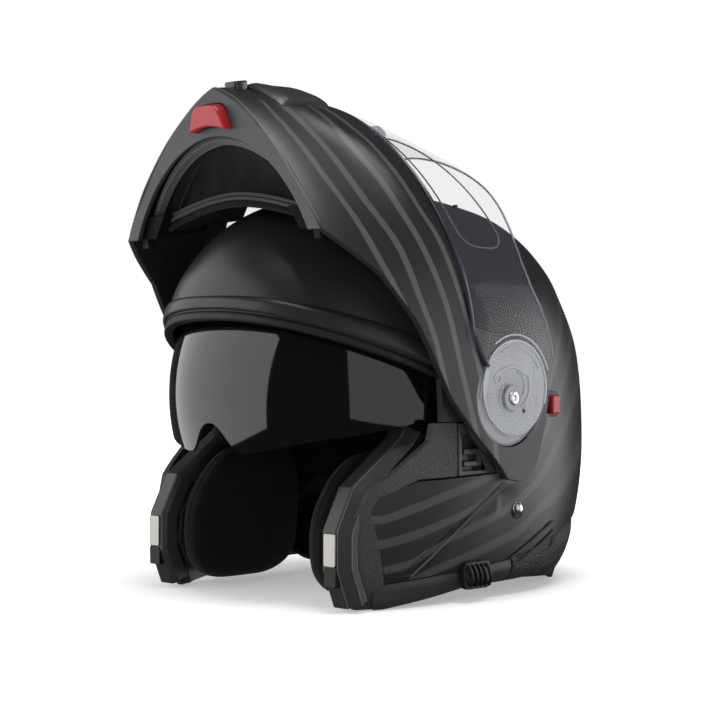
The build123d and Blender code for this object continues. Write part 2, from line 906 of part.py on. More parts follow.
# Chin straps: webbing from the rivets across the neck opening
with BuildPart() as chin_strap:
    with BuildSketch(front(-strap_back - strap_width / 2)):
        with BuildLine():
            strap_path = by_shares(strap_path_shares, strap_top, pivot_height)
            FilletPolyline(*strap_path, (buckle_end + face_gap, buckle_level), radius=strap_bend)
        trace(line_width=strap_thickness)
    extrude(amount=strap_width)
    with BuildSketch(side(strap_top - strap_thickness)):
        with Locations(rivet_place):
            Circle(rivet_shank_radius + fit_gap)
    extrude(amount=2 * strap_thickness, mode=Mode.SUBTRACT)
save_pair(chin_strap.part, "chin_strap")

# Buckle: housing on the left strap, tongue on the right one, lever over the housing
with BuildPart() as buckle_housing:
    with BuildSketch(front(-strap_back)):
        with Locations((buckle_end - buckle_length / 2, buckle_level)):
            Rectangle(buckle_length, buckle_height)
        with Locations((buckle_end - buckle_length / 2 - buckle_height / 2, buckle_level)):
            Rectangle(buckle_length, tongue_thickness + 2 * face_gap, mode=Mode.SUBTRACT)
    extrude(amount=buckle_width / 2, both=True)
save(buckle_housing.part, "buckle_housing")

with BuildPart() as buckle_tongue:
    with BuildSketch(front(-strap_back)):
        with Locations(((tongue_overlap - buckle_end) / 2, buckle_level)):
            Rectangle(tongue_overlap + buckle_end, tongue_thickness)
    extrude(amount=tongue_width / 2, both=True)
save(buckle_tongue.part, "buckle_tongue")

lever_level = buckle_level + buckle_height / 2 + face_gap + lever_thickness / 2
lever_pivot = buckle_end - lever_thickness / 2
with BuildPart() as buckle_lever:
    with BuildSketch(front(-strap_back)):
        with Locations((lever_pivot - lever_length / 2, lever_level)):
            Rectangle(lever_length, lever_thickness)
        with Locations((lever_pivot, lever_level)):
            Circle(lever_thickness / 2)
    extrude(amount=lever_width / 2, both=True)
save(buckle_lever.part, "buckle_lever")

# Park lock: small red slide on the shell, behind the left pivot
lock_inner = shell_form(-fit_gap, -fit_gap, -fit_gap, 0)
lock_reach = -fit_gap - lock_thickness
lock_outer = shell_form(lock_reach, lock_reach, lock_reach, 0)
with BuildPart() as park_lock:
    with BuildSketch(side(0)):
        with Locations((lock_back, -lock_drop)):
            RectangleRounded(lock_width, lock_height, button_rounding)
    extrude(amount=span)
    add(lock_outer, mode=Mode.INTERSECT)
    add(lock_inner, mode=Mode.SUBTRACT)
save(park_lock.part, "park_lock")

# Chin bar shell: thin face with two arms, a turned-in lip and a boss at each pivot
chin_outer = face_form(0, 0)
chin_inner = face_form(chin_wall, chin_wall, face_back + overrun)
arm_points = by_shares(arm_outline_shares + arm_back_shares)
lip_points = by_shares(lip_edge_shares)
lip_top = raised_points(lip_points[::-1], lip_thickness)
lip_inner = face_form(lip_depth, lip_width, face_back + overrun)
with BuildPart() as lip:
    with BuildSketch(raised_side(-span / 2)):
        Polygon(*lip_points, *lip_top, align=None)
    extrude(amount=span)
    add(chin_outer, mode=Mode.INTERSECT)
    add(lip_inner, mode=Mode.SUBTRACT)

button_outline = [
    (-button_front_width / 2, -button_front_reach),
    (button_front_width / 2, -button_front_reach),
    (button_rear_width / 2, -button_front_reach + button_depth),
    (-button_rear_width / 2, -button_front_reach + button_depth),
]
with BuildPart() as chin_bar_shell:
    with BuildSketch(raised_side(-span / 2)):
        Polygon(*arm_points, align=None)
        Circle(hinge_lobe_radius)
    extrude(amount=span)
    add(chin_outer, mode=Mode.INTERSECT)
    add(chin_inner, mode=Mode.SUBTRACT)
    add(lip.part)
    for hand in (-1, 1):
        with BuildSketch(raised_side(hand * boss_face)):
            Circle(hinge_lobe_radius)
        extrude(amount=hand * hinge_boss_thickness)
        with BuildSketch(raised_side(hand * ratchet_floor)):
            Circle(ratchet_radius + fit_gap)
        extrude(amount=hand * overrun, mode=Mode.SUBTRACT)
        with BuildSketch(raised_side(hand * (boss_face - overrun))):
            Circle(pivot_shaft_radius + face_gap)
        extrude(amount=hand * 2 * overrun, mode=Mode.SUBTRACT)
    with BuildSketch(raised_level(button_bottom)):
        Polygon(*button_outline, align=None)
        offset(amount=fit_gap)
    extrude(amount=button_height + overrun, mode=Mode.SUBTRACT)
save(chin_bar_shell.part, "chin_bar_shell")

# Release button: red, in the lip's underside
with BuildPart() as release_button:
    with BuildSketch(raised_level(button_bottom)):
        trapezoid = Polygon(*button_outline, align=None)
        fillet(trapezoid.vertices(), radius=button_rounding)
    extrude(amount=button_height)
save(release_button.part, "release_button")

# Latch housings in the ends of the chin bar, and their hooks
housing_outer = face_form(chin_wall + face_gap, chin_wall + face_gap)
housing_inner = face_form(lip_depth, lip_width, face_back + overrun)
hook_front = -housing_zone_shares[1][0] * face_reach
hook_tip = nose_front - hook_reach
with BuildPart() as latch_housing:
    with BuildSketch(raised_side(0)):
        Polygon(*by_shares(housing_zone_shares), align=None)
    extrude(amount=span / 2)
    add(housing_outer, mode=Mode.INTERSECT)
    add(housing_inner, mode=Mode.SUBTRACT)
    with BuildSketch(raised_front(hook_front - overrun)):
        with Locations((hook_centre, hook_middle)):
            Rectangle(hook_width + 2 * fit_gap, hook_height + 2 * fit_gap)
    extrude(amount=overrun + hook_pocket, mode=Mode.SUBTRACT)
save_pair(latch_housing.part, "latch_housing")

with BuildPart() as latch_hook:
    with BuildSketch(raised_front(hook_tip)):
        with Locations((hook_centre, hook_middle)):
            Rectangle(hook_width, hook_height)
    extrude(amount=hook_length)
save_pair(latch_hook.part, "latch_hook")

# Foam, lining and cable inside the chin bar
foam_outer = face_form(chin_wall + fit_gap, chin_wall + fit_gap)
foam_inner = face_form(chin_foam_front, chin_foam_side, face_back + overrun)
with BuildPart() as chin_foam:
    with BuildSketch(raised_side(-span / 2)):
        Polygon(*by_shares(foam_zone_shares), align=None)
    extrude(amount=span)
    add(foam_outer, mode=Mode.INTERSECT)
    add(foam_inner, mode=Mode.SUBTRACT)
save(chin_foam.part, "chin_foam")

panel_outer = face_form(chin_foam_front + face_gap, chin_foam_side + face_gap)
panel_inset = chin_panel_wall + face_gap
panel_inner = face_form(chin_foam_front + panel_inset, chin_foam_side + panel_inset, face_back + overrun)
with BuildPart() as chin_panel:
    with BuildSketch(raised_side(-span / 2)):
        Polygon(*by_shares(panel_zone_shares), align=None)
    extrude(amount=span)
    add(panel_outer, mode=Mode.INTERSECT)
    add(panel_inner, mode=Mode.SUBTRACT)
save(chin_panel.part, "chin_panel")

curtain_inset = panel_inset + face_gap
curtain_outer = face_form(chin_foam_front + curtain_inset, chin_foam_side + curtain_inset)
with BuildPart() as chin_curtain:
    with BuildSketch(raised_level(curtain_level)):
        with BuildLine():
            hem = ThreePointArc((-span / 2, -hem_end_reach), (0, -hem_reach), (span / 2, -hem_end_reach))
            Polyline(hem @ 1, (span / 2, -face_reach), (-span / 2, -face_reach), hem @ 0)
        make_face()
    extrude(amount=curtain_thickness)
    add(curtain_outer, mode=Mode.INTERSECT)
save(chin_curtain.part, "chin_curtain")

cable_outer = face_form(chin_wall + fit_gap, chin_wall + fit_gap)
cable_inset = chin_wall + fit_gap + cable_diameter
cable_inner = face_form(cable_inset, cable_inset, face_back + overrun)
with BuildPart() as latch_cable:
    with BuildSketch(raised_side(0)):
        Polygon(*by_shares(cable_zone_shares), align=None)
    extrude(amount=span / 2)
    add(cable_outer, mode=Mode.INTERSECT)
    add(cable_inner, mode=Mode.SUBTRACT)
save_pair(latch_cable.part, "latch_cable")

# Vent scoop on the chin's front, and the shutter below it
scoop_seat = face_form(-face_gap, -face_gap, face_back + overrun)
with BuildPart() as vent_scoop:
    with BuildSketch(raised_side(-scoop_half_width)):
        Polygon(*by_shares(scoop_shares), align=None)
    extrude(amount=2 * scoop_half_width)
    with BuildSketch(raised_side(-scoop_half_width + scoop_wall)):
        Polygon(*by_shares(scoop_duct_shares), align=None)
    extrude(amount=2 * (scoop_half_width - scoop_wall), mode=Mode.SUBTRACT)
    add(scoop_seat, mode=Mode.SUBTRACT)
save(vent_scoop.part, "vent_scoop")

with BuildPart() as vent_shutter:
    with BuildSketch(raised_front(face_reach + fit_gap)):
        with Locations((0, shutter_middle)):
            RectangleRounded(shutter_width, shutter_height, shutter_rounding)
    extrude(amount=shutter_thickness)
save(vent_shutter.part, "vent_shutter")

# Seal between the chin bar's sill and the visor
sill_outer = face_form(face_gap, face_gap)
sill_inner = face_form(chin_wall, chin_wall, face_back + overrun)
sill_line = by_shares([arm_back_shares[-1], arm_back_shares[-2]])
seal_bottom = raised_points(sill_line, press_gap)
seal_top = raised_points(sill_line[::-1], sill_seal_height)
with BuildPart() as visor_seal:
    with BuildSketch(raised_side(-span / 2)):
        Polygon(*seal_bottom, *seal_top, align=None)
    extrude(amount=span)
    add(sill_outer, mode=Mode.INTERSECT)
    add(sill_inner, mode=Mode.SUBTRACT)
save(visor_seal.part, "visor_seal")

# Visor ratchets and screws at the pivot
with BuildPart() as visor_ratchet:
    with BuildSketch(raised_side(ratchet_floor)):
        Circle(ratchet_radius)
    extrude(amount=ratchet_thickness)
    with BuildSketch(raised_side(ratchet_floor)):
        Circle(ratchet_hub_radius)
    extrude(amount=screw_seat - ratchet_floor)
    with BuildSketch(raised_side(ratchet_floor)):
        Circle(screw_shaft_radius + press_gap)
    extrude(amount=screw_seat - ratchet_floor, mode=Mode.SUBTRACT)
save_pair(visor_ratchet.part, "visor_ratchet")

with BuildPart() as visor_screw:
    with BuildSketch(raised_side(screw_seat)):
        Circle(screw_head_radius)
    extrude(amount=screw_head_height)
    with BuildSketch(raised_side(screw_seat)):
        Circle(screw_shaft_radius)
    extrude(amount=ratchet_floor - screw_seat)
save_pair(visor_screw.part, "visor_screw")

# Clear visor with ears over the ratchets and a lift tab
visor_outside = face_form(face_gap, -visor_flare)
visor_inside = face_form(face_gap + visor_wall, visor_wall - visor_flare, face_back + overrun)
ear_middle = by_shares([ear_middle_share])[0]
ear_across = ear_radii_shares[0] * face_reach
ear_up = ear_radii_shares[1] * pivot_height
with BuildPart() as face_shield:
    with BuildSketch(raised_side(-span / 2)):
        Polygon(*by_shares(visor_outline_shares), align=None)
        with Locations(ear_middle):
            Ellipse(ear_across, ear_up)
    extrude(amount=span)
    add(visor_outside, mode=Mode.INTERSECT)
    with BuildSketch(raised_level(tab_bottom)):
        with Locations((tab_middle, -tab_reach)):
            Rectangle(tab_width, tab_depth)
    extrude(amount=tab_height)
    add(visor_inside, mode=Mode.SUBTRACT)
    with BuildSketch(raised_side(-span / 2)):
        Circle(ratchet_hub_radius + fit_gap)
    extrude(amount=span, mode=Mode.SUBTRACT)
save(face_shield.part, "face_shield")

# Pins inside the visor for a fog-free insert
pin_depth = face_gap + visor_wall + press_gap
pin_outer = face_form(pin_depth, pin_depth - visor_flare - face_gap)
pin_inner_depth = pin_depth + shield_pin_length
pin_inner = face_form(pin_inner_depth, pin_inner_depth - visor_flare - face_gap)
with BuildPart() as shield_pins:
    with BuildSketch(raised_side(-span / 2)):
        with Locations(by_shares([pin_place_share])[0]):
            Circle(shield_pin_radius)
    extrude(amount=span)
    add(pin_outer, mode=Mode.INTERSECT)
    add(pin_inner, mode=Mode.SUBTRACT)
save(shield_pins.part, "shield_pins")
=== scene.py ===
"""Looks of the modular helmet: every visible piece as a worked-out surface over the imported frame.

Metres, +Z up, the face looks along -Y and the wearer's left is +X. Heights and reaches of the
shell and the chin bar are measured from the main pivot.
"""

import bmesh
import bpy
import numpy as np
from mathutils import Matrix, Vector


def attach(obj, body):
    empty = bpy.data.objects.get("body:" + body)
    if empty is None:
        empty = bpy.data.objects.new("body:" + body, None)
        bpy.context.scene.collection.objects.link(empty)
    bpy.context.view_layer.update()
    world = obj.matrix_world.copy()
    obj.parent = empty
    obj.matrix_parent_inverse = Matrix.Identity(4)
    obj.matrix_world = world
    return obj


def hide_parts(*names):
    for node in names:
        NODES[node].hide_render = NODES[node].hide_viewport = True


bl_info = {
    "name": "Modular Helmet",
    "version": (1, 0, 0),
    "blender": (4, 5, 0),
    "location": "3D View > Sidebar > Helmet",
    "description": "Builds the visible pieces of a flip-up motorcycle helmet",
    "category": "Object",
}

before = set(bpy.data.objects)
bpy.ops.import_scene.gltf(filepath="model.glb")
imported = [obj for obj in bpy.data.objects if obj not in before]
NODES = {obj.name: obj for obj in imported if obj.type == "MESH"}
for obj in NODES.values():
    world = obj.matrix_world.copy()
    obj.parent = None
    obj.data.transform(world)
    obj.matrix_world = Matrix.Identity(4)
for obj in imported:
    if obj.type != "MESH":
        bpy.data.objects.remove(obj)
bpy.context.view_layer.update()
MM = 0.001
PIVOT = np.array((0.0, -0.0065, 0.127))
OPENING = np.radians(80.5)
# Ends of a cutter that runs right across the helmet
ACROSS = (-0.2, 0.2)
HANDS = ((1, "left"), (-1, "right"))


def mm(*points):
    """Numbers or points given in millimetres."""
    return np.array(points) * MM


# Sections of the shell: height, half width, front, rear as shares of its size, and front power
SHELL_SECTIONS = np.array([
    (-0.060, 0.810, 0.930, 0.730, 3.0),
    (0.000, 0.860, 0.950, 0.800, 3.0),
    (0.076, 0.925, 0.985, 0.895, 3.0),
    (0.190, 0.970, 1.000, 0.970, 3.0),
    (0.305, 0.995, 1.000, 1.000, 3.0),
    (0.420, 1.000, 1.000, 1.000, 2.8),
    (0.534, 0.995, 1.000, 0.980, 2.6),
    (0.630, 0.970, 0.995, 0.945, 2.4),
    (0.725, 0.905, 0.980, 0.880, 2.3),
    (0.800, 0.815, 0.930, 0.830, 2.2),
    (0.878, 0.670, 0.820, 0.730, 2.1),
    (0.939, 0.485, 0.645, 0.600, 2.0),
    (0.977, 0.285, 0.400, 0.410, 2.0),
    (0.994, 0.140, 0.180, 0.260, 2.0),
    (1.000, 0.000, -0.089, 0.083, 2.0),
])
# Sections of the chin bar's face: height over the pivot, reach, half width, front and side power
FACE_SECTIONS = np.array([
    (-0.990, 0.975, 0.940, 1.80, 1.35),
    (-0.827, 1.000, 0.970, 1.80, 1.35),
    (-0.630, 0.990, 0.980, 1.86, 1.42),
    (-0.472, 0.968, 0.990, 1.92, 1.52),
    (-0.205, 0.929, 1.000, 2.00, 1.70),
    (0.110, 0.850, 1.000, 2.00, 1.70),
    (0.394, 0.768, 1.000, 2.00, 1.62),
    (0.598, 0.697, 0.990, 2.00, 1.52),
    (0.760, 0.630, 0.965, 2.00, 1.50),
])
# Side-view outlines: how far behind the pivot and how far over it
OPENING_EDGE = mm(
    (-84.5, -142), (-84.5, -111), (-100.0, -67.9), (-95.0, -57.0), (-69.1, -49.5), (-2.0, -47.2),
    (-22.0, -14.0), (-51.0, -14.0), (-51.0, 17.8), (-151.8, 57.0), (-240.0, 57.0), (-240.0, -142.0),
)
RIM_EDGE = mm((-84.5, -111.0), (20.0, -102.9), (115.3, -80.0), (182.5, -74.9))
BASE_EDGE = mm(
    (-84.5, -127.0), (-58.4, -123.8), (-20.0, -118.7), (39.4, -117.5), (90.5, -121.3), (116.8, -127.0),
    (182.5, -127.0),
)
ARM_EDGE = mm(
    (-240.0, -102.4), (-121.7, -115.1), (-110.0, -105.0), (-89.7, -86.5), (-60.4, -71.0), (-28.0, -58.5),
    (-8.1, -50.5), (19.1, -31.8), (36.0, -18.0), (50.0, -8.9), (54.3, 3.0), (50.9, 12.7), (42.4, 21.6),
    (20.6, 33.5),
)
ARM_TOP_EDGE = mm((-25.4, 22.9), (-50.0, -27.9), (-240.0, -25.8))
VISOR_EDGE = mm(
    (-240.0, -23.6), (-84.8, -25.5), (-57.2, -27.7), (-47.1, -28.7), (-19.1, -16.5), (0.0, 10.2),
)
VISOR_TOP_EDGE = mm(
    (-7.7, 37.6), (-15.0, 43.0), (-26.0, 45.5), (-38.0, 42.5), (-53.0, 38.5), (-66.0, 34.5), (-81.0, 34.0),
    (-94.0, 36.5), (-106.0, 41.0), (-120.0, 48.0), (-131.0, 54.0), (-142.0, 59.5), (-149.0, 63.0),
    (-152.0, 64.5), (-240.0, 91.5),
)
LIP_EDGE = mm((-240.0, -102.4), (-121.7, -115.1), (-121.7, -111.1), (-240.0, -98.4))


def size_of(name, description, default):
    """A length that a user may change, in metres."""
    return bpy.props.FloatProperty(
        name=name, description=description, default=default, min=0.0, max=1.0, unit="LENGTH", precision=4
    )


def colour_of(name, description, default):
    """A base colour that a user may change."""
    return bpy.props.FloatVectorProperty(
        name=name, description=description, default=default, size=3, min=0, max=1, subtype="COLOR"
    )


class HelmetSizes(bpy.types.PropertyGroup):
    """Sizes of the helmet's visible pieces."""

    shell_height: size_of("Shell height", "Height of the shell over its base", 0.262)
    shell_half_width: size_of("Shell half width", "Half of the shell's width", 0.115)
    shell_front: size_of("Shell front", "Reach of the shell ahead of the pivot", 0.146)
    shell_rear: size_of("Shell rear", "Reach of the shell behind the pivot", 0.157)
    shell_middle: size_of("Shell middle", "Middle of the shell behind the pivot", 0.013)
    shell_wall: size_of("Shell wall", "Thickness of the shell", 0.004)
    face_reach: size_of("Face reach", "Reach of the shut chin bar ahead of the pivot", 0.212)
    face_half_width: size_of("Face half width", "Half of the chin bar's width", 0.1216)
    face_flat: size_of("Face flat", "Where the arms' flat sides end ahead of the pivot", 0.038)
    face_back: size_of("Face back", "How far the arms run behind the pivot", 0.075)
    chin_wall: size_of("Chin wall", "Thickness of the chin bar's shell", 0.0046)
    lip_depth: size_of("Lip depth", "Depth of the lip at the chin", 0.029)
    lip_width: size_of("Lip width", "Depth of the lip at the sides", 0.020)
    sun_radius: size_of("Sun visor radius", "Radius of the sun visor about its axis", 0.122)
    sun_half_width: size_of("Sun visor half width", "Half of the sun visor's width", 0.104)
    sun_wall: size_of("Sun visor wall", "Thickness of the sun visor", 0.002)


class HelmetColours(bpy.types.PropertyGroup):
    """Base colours of the helmet's finishes."""

    paint: colour_of("Paint", "Matt paint of the shell and the chin bar", (0.0105, 0.0108, 0.0115))
    stripe: colour_of("Stripe", "Stripes on the paint", (0.055, 0.058, 0.062))
    trim: colour_of("Trim", "Grained plastic of the cheek frames and the rim", (0.0205, 0.0208, 0.0218))
    lip: colour_of("Lip", "Smooth plastic of the chin bar's lip", (0.030, 0.031, 0.034))
    rubber: colour_of("Rubber", "Seals", (0.006, 0.006, 0.0065))
    cloth: colour_of("Cloth", "Liner and pads", (0.0030, 0.0030, 0.0036))
    curtain: colour_of("Curtain", "Chin curtain", (0.0022, 0.0023, 0.0042))
    red: colour_of("Red", "Release button and park lock", (0.25, 0.010, 0.012))
    steel: colour_of("Steel", "Brushed plates", (0.42, 0.41, 0.39))
    lens: colour_of("Lens", "Dark sun visor", (0.0016, 0.0016, 0.0020))
    clear: colour_of("Clear", "Clear visor", (0.13, 0.13, 0.155))


def sizes():
    """The scene's helmet sizes."""
    return bpy.context.scene.helmet_sizes


def colours():
    """The scene's helmet colours."""
    return bpy.context.scene.helmet_colours


class Part:
    """What the operators share: each builds its pieces from the scene's sizes and colours."""

    def execute(self, context):
        self.build(sizes(), colours())
        return {"FINISHED"}


# Curves and forms


def smooth_table(table, places):
    """Values of a table's columns at fractional row numbers, by cubic pieces with centred slopes."""
    table = np.asarray(table, float)
    rows = len(table)
    slopes = np.gradient(table, axis=0)
    low = np.clip(np.floor(places).astype(int), 0, rows - 2)
    part = (places - low)[:, None]
    start, end = table[low], table[low + 1]
    return (
        start * (1 + 2 * part) * (1 - part) ** 2
        + slopes[low] * part * (1 - part) ** 2
        + end * part**2 * (3 - 2 * part)
        + slopes[low + 1] * part**2 * (part - 1)
    )


def shell_rings(places, turns, inset=0.0, rear=None, side=None, top=None):
    """Points of the shell's form: at each row place, a ring of two half superellipses by direction."""
    s = sizes()
    rear, side, top = (inset if own is None else own for own in (rear, side, top))
    up, across, ahead, behind, power = smooth_table(SHELL_SECTIONS, places).T[:, :, None]
    across, up = np.maximum(across, 0), np.minimum(up, 1.0)
    crown = 0.42
    rise = (s.shell_height - top - crown * s.shell_height) / (s.shell_height * (1 - crown))
    height = np.where(up > crown, s.shell_height * (crown + (up - crown) * rise), s.shell_height * up)
    side = across * (s.shell_half_width - side)
    front = ahead * (s.shell_front - inset) + s.shell_middle
    back = behind * (s.shell_rear - rear) - s.shell_middle
    sine, cosine = np.sin(turns)[None, :], np.cos(turns)[None, :]
    reach = np.maximum(np.where(cosine > 0, front, back), 1e-6)
    n = np.where(cosine > 0, np.clip(power, 2, 3), 2.3)
    radius = (np.abs(sine / np.maximum(side, 1e-6)) ** n + np.abs(cosine / reach) ** n) ** (-1 / n)
    x = radius * sine
    y = s.shell_middle - radius * cosine
    return np.stack((x, y, height + 0 * x - PIVOT[2]), -1)


def shell_width(y, height, inset):
    """How far out the shell's side is at places in the side view."""
    s = sizes()
    places = np.linspace(0, len(SHELL_SECTIONS) - 1, 400)
    rows = smooth_table(SHELL_SECTIONS, places)
    level = (np.asarray(height) + PIVOT[2]) / s.shell_height
    across, ahead, behind, power = (np.interp(level, rows[:, 0], rows[:, k]) for k in range(1, 5))
    past = np.asarray(y) - s.shell_middle
    front = ahead * (s.shell_front - inset) + s.shell_middle
    back = behind * (s.shell_rear - inset) - s.shell_middle
    share = np.abs(past) / np.where(past < 0, front, back)
    n = np.where(past < 0, power, 2.3)
    return across * (s.shell_half_width - inset) * np.maximum(1 - share**n, 0) ** (1 / n)


def face_rings(heights, steps, inset_front, inset_side, back, soften=0.0):
    """Points of the face's form when shut: straight sides, then a rounded front, ring by ring."""
    s = sizes()
    shares = FACE_SECTIONS[:, 0] * PIVOT[2]
    places = np.interp(heights, shares, np.arange(len(shares)))
    _, reach, across, front_power, side_power = smooth_table(FACE_SECTIONS, places).T[:, :, None]
    half = across * s.face_half_width - inset_side
    ahead = reach * s.face_reach - s.face_flat - inset_front
    turn = np.linspace(-np.pi / 2, np.pi / 2, steps)[None, :]
    x = np.sign(turn) * half * np.abs(np.sin(turn)) ** (2 / (side_power + soften))
    y = -s.face_flat - ahead * np.abs(np.cos(turn)) ** (2 / (front_power + soften))
    sides = np.linspace(back, -s.face_flat, 24)[:-1][None, :] + 0 * half
    x = np.concatenate((-half + 0 * sides, x, half + 0 * sides), 1)
    y = np.concatenate((sides, y, sides[:, ::-1]), 1)
    return np.stack((x, y, heights[:, None] + 0 * x), -1)


def at_pivot(points):
    """Points that were measured from the pivot, put in their place."""
    return points + PIVOT


def lifted(points):
    """Points of the shut chin bar, turned up about the pivot to the raised place."""
    x, y, z = np.moveaxis(points, -1, 0)
    cosine, sine = np.cos(OPENING), np.sin(OPENING)
    return np.stack((x, y * cosine + z * sine, z * cosine - y * sine), -1) + PIVOT


def shut(points):
    """The reverse of lifted: where points of the raised chin bar lie when it is shut."""
    x, y, z = np.moveaxis(points - PIVOT, -1, 0)
    cosine, sine = np.cos(OPENING), np.sin(OPENING)
    return np.stack((x, y * cosine - z * sine, z * cosine + y * sine), -1)


def apart(hand, near, far):
    """Two distances on one side of the helmet, the lower number first."""
    return sorted((hand * near, hand * far))


def beside(distance, line):
    """A side-view line put at a distance across the helmet."""
    return np.column_stack((distance + 0 * line[:, 0], line))


def on_side(hand, line, inset):
    """A side-view line laid on the shell's side."""
    return beside(hand * shell_width(line[:, 0], line[:, 1], inset), line)


def run_along(points):
    """How far each point of a line is from its start, measured along the line."""
    return np.concatenate(([0], np.cumsum(np.linalg.norm(np.diff(points, axis=0), axis=1))))


def places_along(points, distances):
    """Places on a line at distances from its start."""
    run = run_along(points)
    return np.stack([np.interp(distances, run, column) for column in points.T], -1)


def closed_line(outline, count):
    """A closed outline as evenly spaced points."""
    loop = np.concatenate((outline, outline[:1]))
    return places_along(loop, np.linspace(0, run_along(loop)[-1], count, endpoint=False))


def circle_edge(centre, radii, start, end, count):
    """Outline points on an ellipse from one angle to another."""
    turn = np.linspace(start, end, count)
    return np.stack((centre[0] + radii[0] * np.cos(turn), centre[1] + radii[1] * np.sin(turn)), -1)


def rounded_outline(points, radius, steps=5):
    """An outline whose corners are cut by curves that start a radius away from each corner."""
    points = np.asarray(points, float)
    before, after = np.roll(points, 1, 0), np.roll(points, -1, 0)

    def toward(goal):
        run = goal - points
        length = np.linalg.norm(run, axis=1, keepdims=True)
        return points + run * np.minimum(radius / length, 0.45)

    first, last = toward(before), toward(after)
    t = np.linspace(0, 1, steps)[None, :, None]
    curve = first[:, None] * (1 - t) ** 2 + 2 * points[:, None] * t * (1 - t) + last[:, None] * t**2
    return curve.reshape(-1, 2)


# Meshes


def grid_faces(rows, columns, loop):
    """Quads of a grid of points; loop joins the last column to the first."""
    row = np.arange(rows - 1)[:, None]
    column = np.arange(columns if loop else columns - 1)[None, :]
    after = (column + 1) % columns
    here, below = row * columns, (row + 1) * columns
    return np.stack((here + column, here + after, below + after, below + column), -1).reshape(-1, 4)


def new_piece(name, points, faces):
    """A mesh object from arrays of points and faces."""
    mesh = bpy.data.meshes.new(name)
    mesh.from_pydata(points.reshape(-1, 3).tolist(), [], [list(map(int, f)) for f in faces])
    mesh.update()
    piece = bpy.data.objects.new(name, mesh)
    bpy.context.scene.collection.objects.link(piece)
    return piece


def capped_grid(name, points):
    """A closed solid from rings of points, with a flat cap on the first and last ring."""
    rows, columns = points.shape[:2]
    faces = list(grid_faces(rows, columns, True))
    faces.append(list(range(columns - 1, -1, -1)))
    faces.append(list(range((rows - 1) * columns, rows * columns)))
    return new_piece(name, points, faces)


def walled_grid(name, outside, inside, loop_u=False):
    """A closed sheet: an outside and an inside grid joined all round their edges."""
    rows, columns = outside.shape[:2]
    count = rows * columns
    outer = grid_faces(rows, columns, loop_u)
    inner = outer[:, ::-1] + count
    number = np.arange(count).reshape(rows, columns)
    edges = [number[0], number[-1][::-1]]
    if not loop_u:
        edges = [np.concatenate((number[0], number[1:, -1], number[-1, -2::-1], number[-2::-1, 0]))]
    rims = []
    for edge in edges:
        start, end = edge[:-1], edge[1:]
        if loop_u:
            start, end = edge, np.roll(edge, -1)
        rims.append(np.stack((end, start, start + count, end + count), -1))
    faces = np.concatenate((outer, inner, *rims))
    return tidy(new_piece(name, np.concatenate((outside.reshape(-1, 3), inside.reshape(-1, 3))), faces))


def tidy(piece):
    """Merges doubles and turns every face outwards."""
    work = bmesh.new()
    work.from_mesh(piece.data)
    bmesh.ops.remove_doubles(work, verts=work.verts, dist=1e-6)
    bmesh.ops.recalc_face_normals(work, faces=work.faces)
    work.to_mesh(piece.data)
    work.free()
    return piece


def prism(name, outline, low, high, place, axis=0):
    """A flat outline made solid from one distance to another along an axis, in a given place."""
    outline = np.asarray(outline)
    rings = []
    for distance in (low, high):
        columns = [outline[:, 0], outline[:, 1]]
        columns.insert(axis, np.full(len(outline), distance))
        rings.append(np.stack(columns, -1))
    return tidy(capped_grid(name, place(np.stack(rings))))


def eased(piece, width, segments=3):
    """Rounds a piece's edges with a bevel."""
    change = piece.modifiers.new("ease", "BEVEL")
    change.width, change.segments, change.limit_method = width, segments, "ANGLE"
    return piece


def tube(name, path, radius, place, sides=10, closed=False):
    """A round cord along a path: rings square to the path's run."""
    path = np.asarray(path)
    run = np.roll(path, -1, 0) - np.roll(path, 1, 0)
    if not closed:
        run[0], run[-1] = path[1] - path[0], path[-1] - path[-2]
    run /= np.linalg.norm(run, axis=1, keepdims=True)
    across = np.cross(run, (0.31, 0.52, 0.80))
    across /= np.linalg.norm(across, axis=1, keepdims=True)
    out = np.cross(run, across)
    turn = np.linspace(0, 2 * np.pi, sides, endpoint=False)[None, :, None]
    rings = path[:, None] + radius * (across[:, None] * np.cos(turn) + out[:, None] * np.sin(turn))
    if closed:
        rings = np.concatenate((rings, rings[:1]))
        return tidy(new_piece(name, place(rings), grid_faces(*rings.shape[:2], True)))
    return tidy(capped_grid(name, place(rings)))


def turned(name, profile, centre, hand, place, steps=64):
    """A round piece on an axis across the helmet: radius and distance pairs turned full circle."""
    profile = np.asarray(profile, float)
    turn = np.linspace(0, 2 * np.pi, steps, endpoint=False)[None, :]
    radius, distance = profile[:, 0:1], profile[:, 1:2]
    rings = np.stack(
        (hand * distance + 0 * turn, centre[0] + radius * np.cos(turn), centre[1] + radius * np.sin(turn)), -1
    )
    return tidy(capped_grid(name, place(rings)))


def puffed(name, outline, middle, half, place, seams):
    """A crowned pad: the outline shrinks to its middle by a superellipse while the pad swells."""
    power, depth = 3.2, 0.0008
    centre = outline.mean(0)
    lean = np.linspace(-np.pi / 2, np.pi / 2, 40)[:, None]
    share = np.cos(lean).clip(0) ** (2 / power)
    swell = np.sign(lean) * np.abs(np.sin(lean)) ** (2 / power)
    share = share.clip(0.004)
    y = centre[0] + (outline[None, :, 0] - centre[0]) * share
    z = centre[1] + (outline[None, :, 1] - centre[1]) * share
    sink = np.zeros_like(y)
    for line in seams:
        gap = np.abs(z - np.interp(y, line[:, 0], line[:, 1]))
        sink += depth * np.exp(-((gap / 0.0016) ** 2))
    x = middle + (half - sink) * swell
    return tidy(capped_grid(name, place(np.stack((x, y, z), -1))))


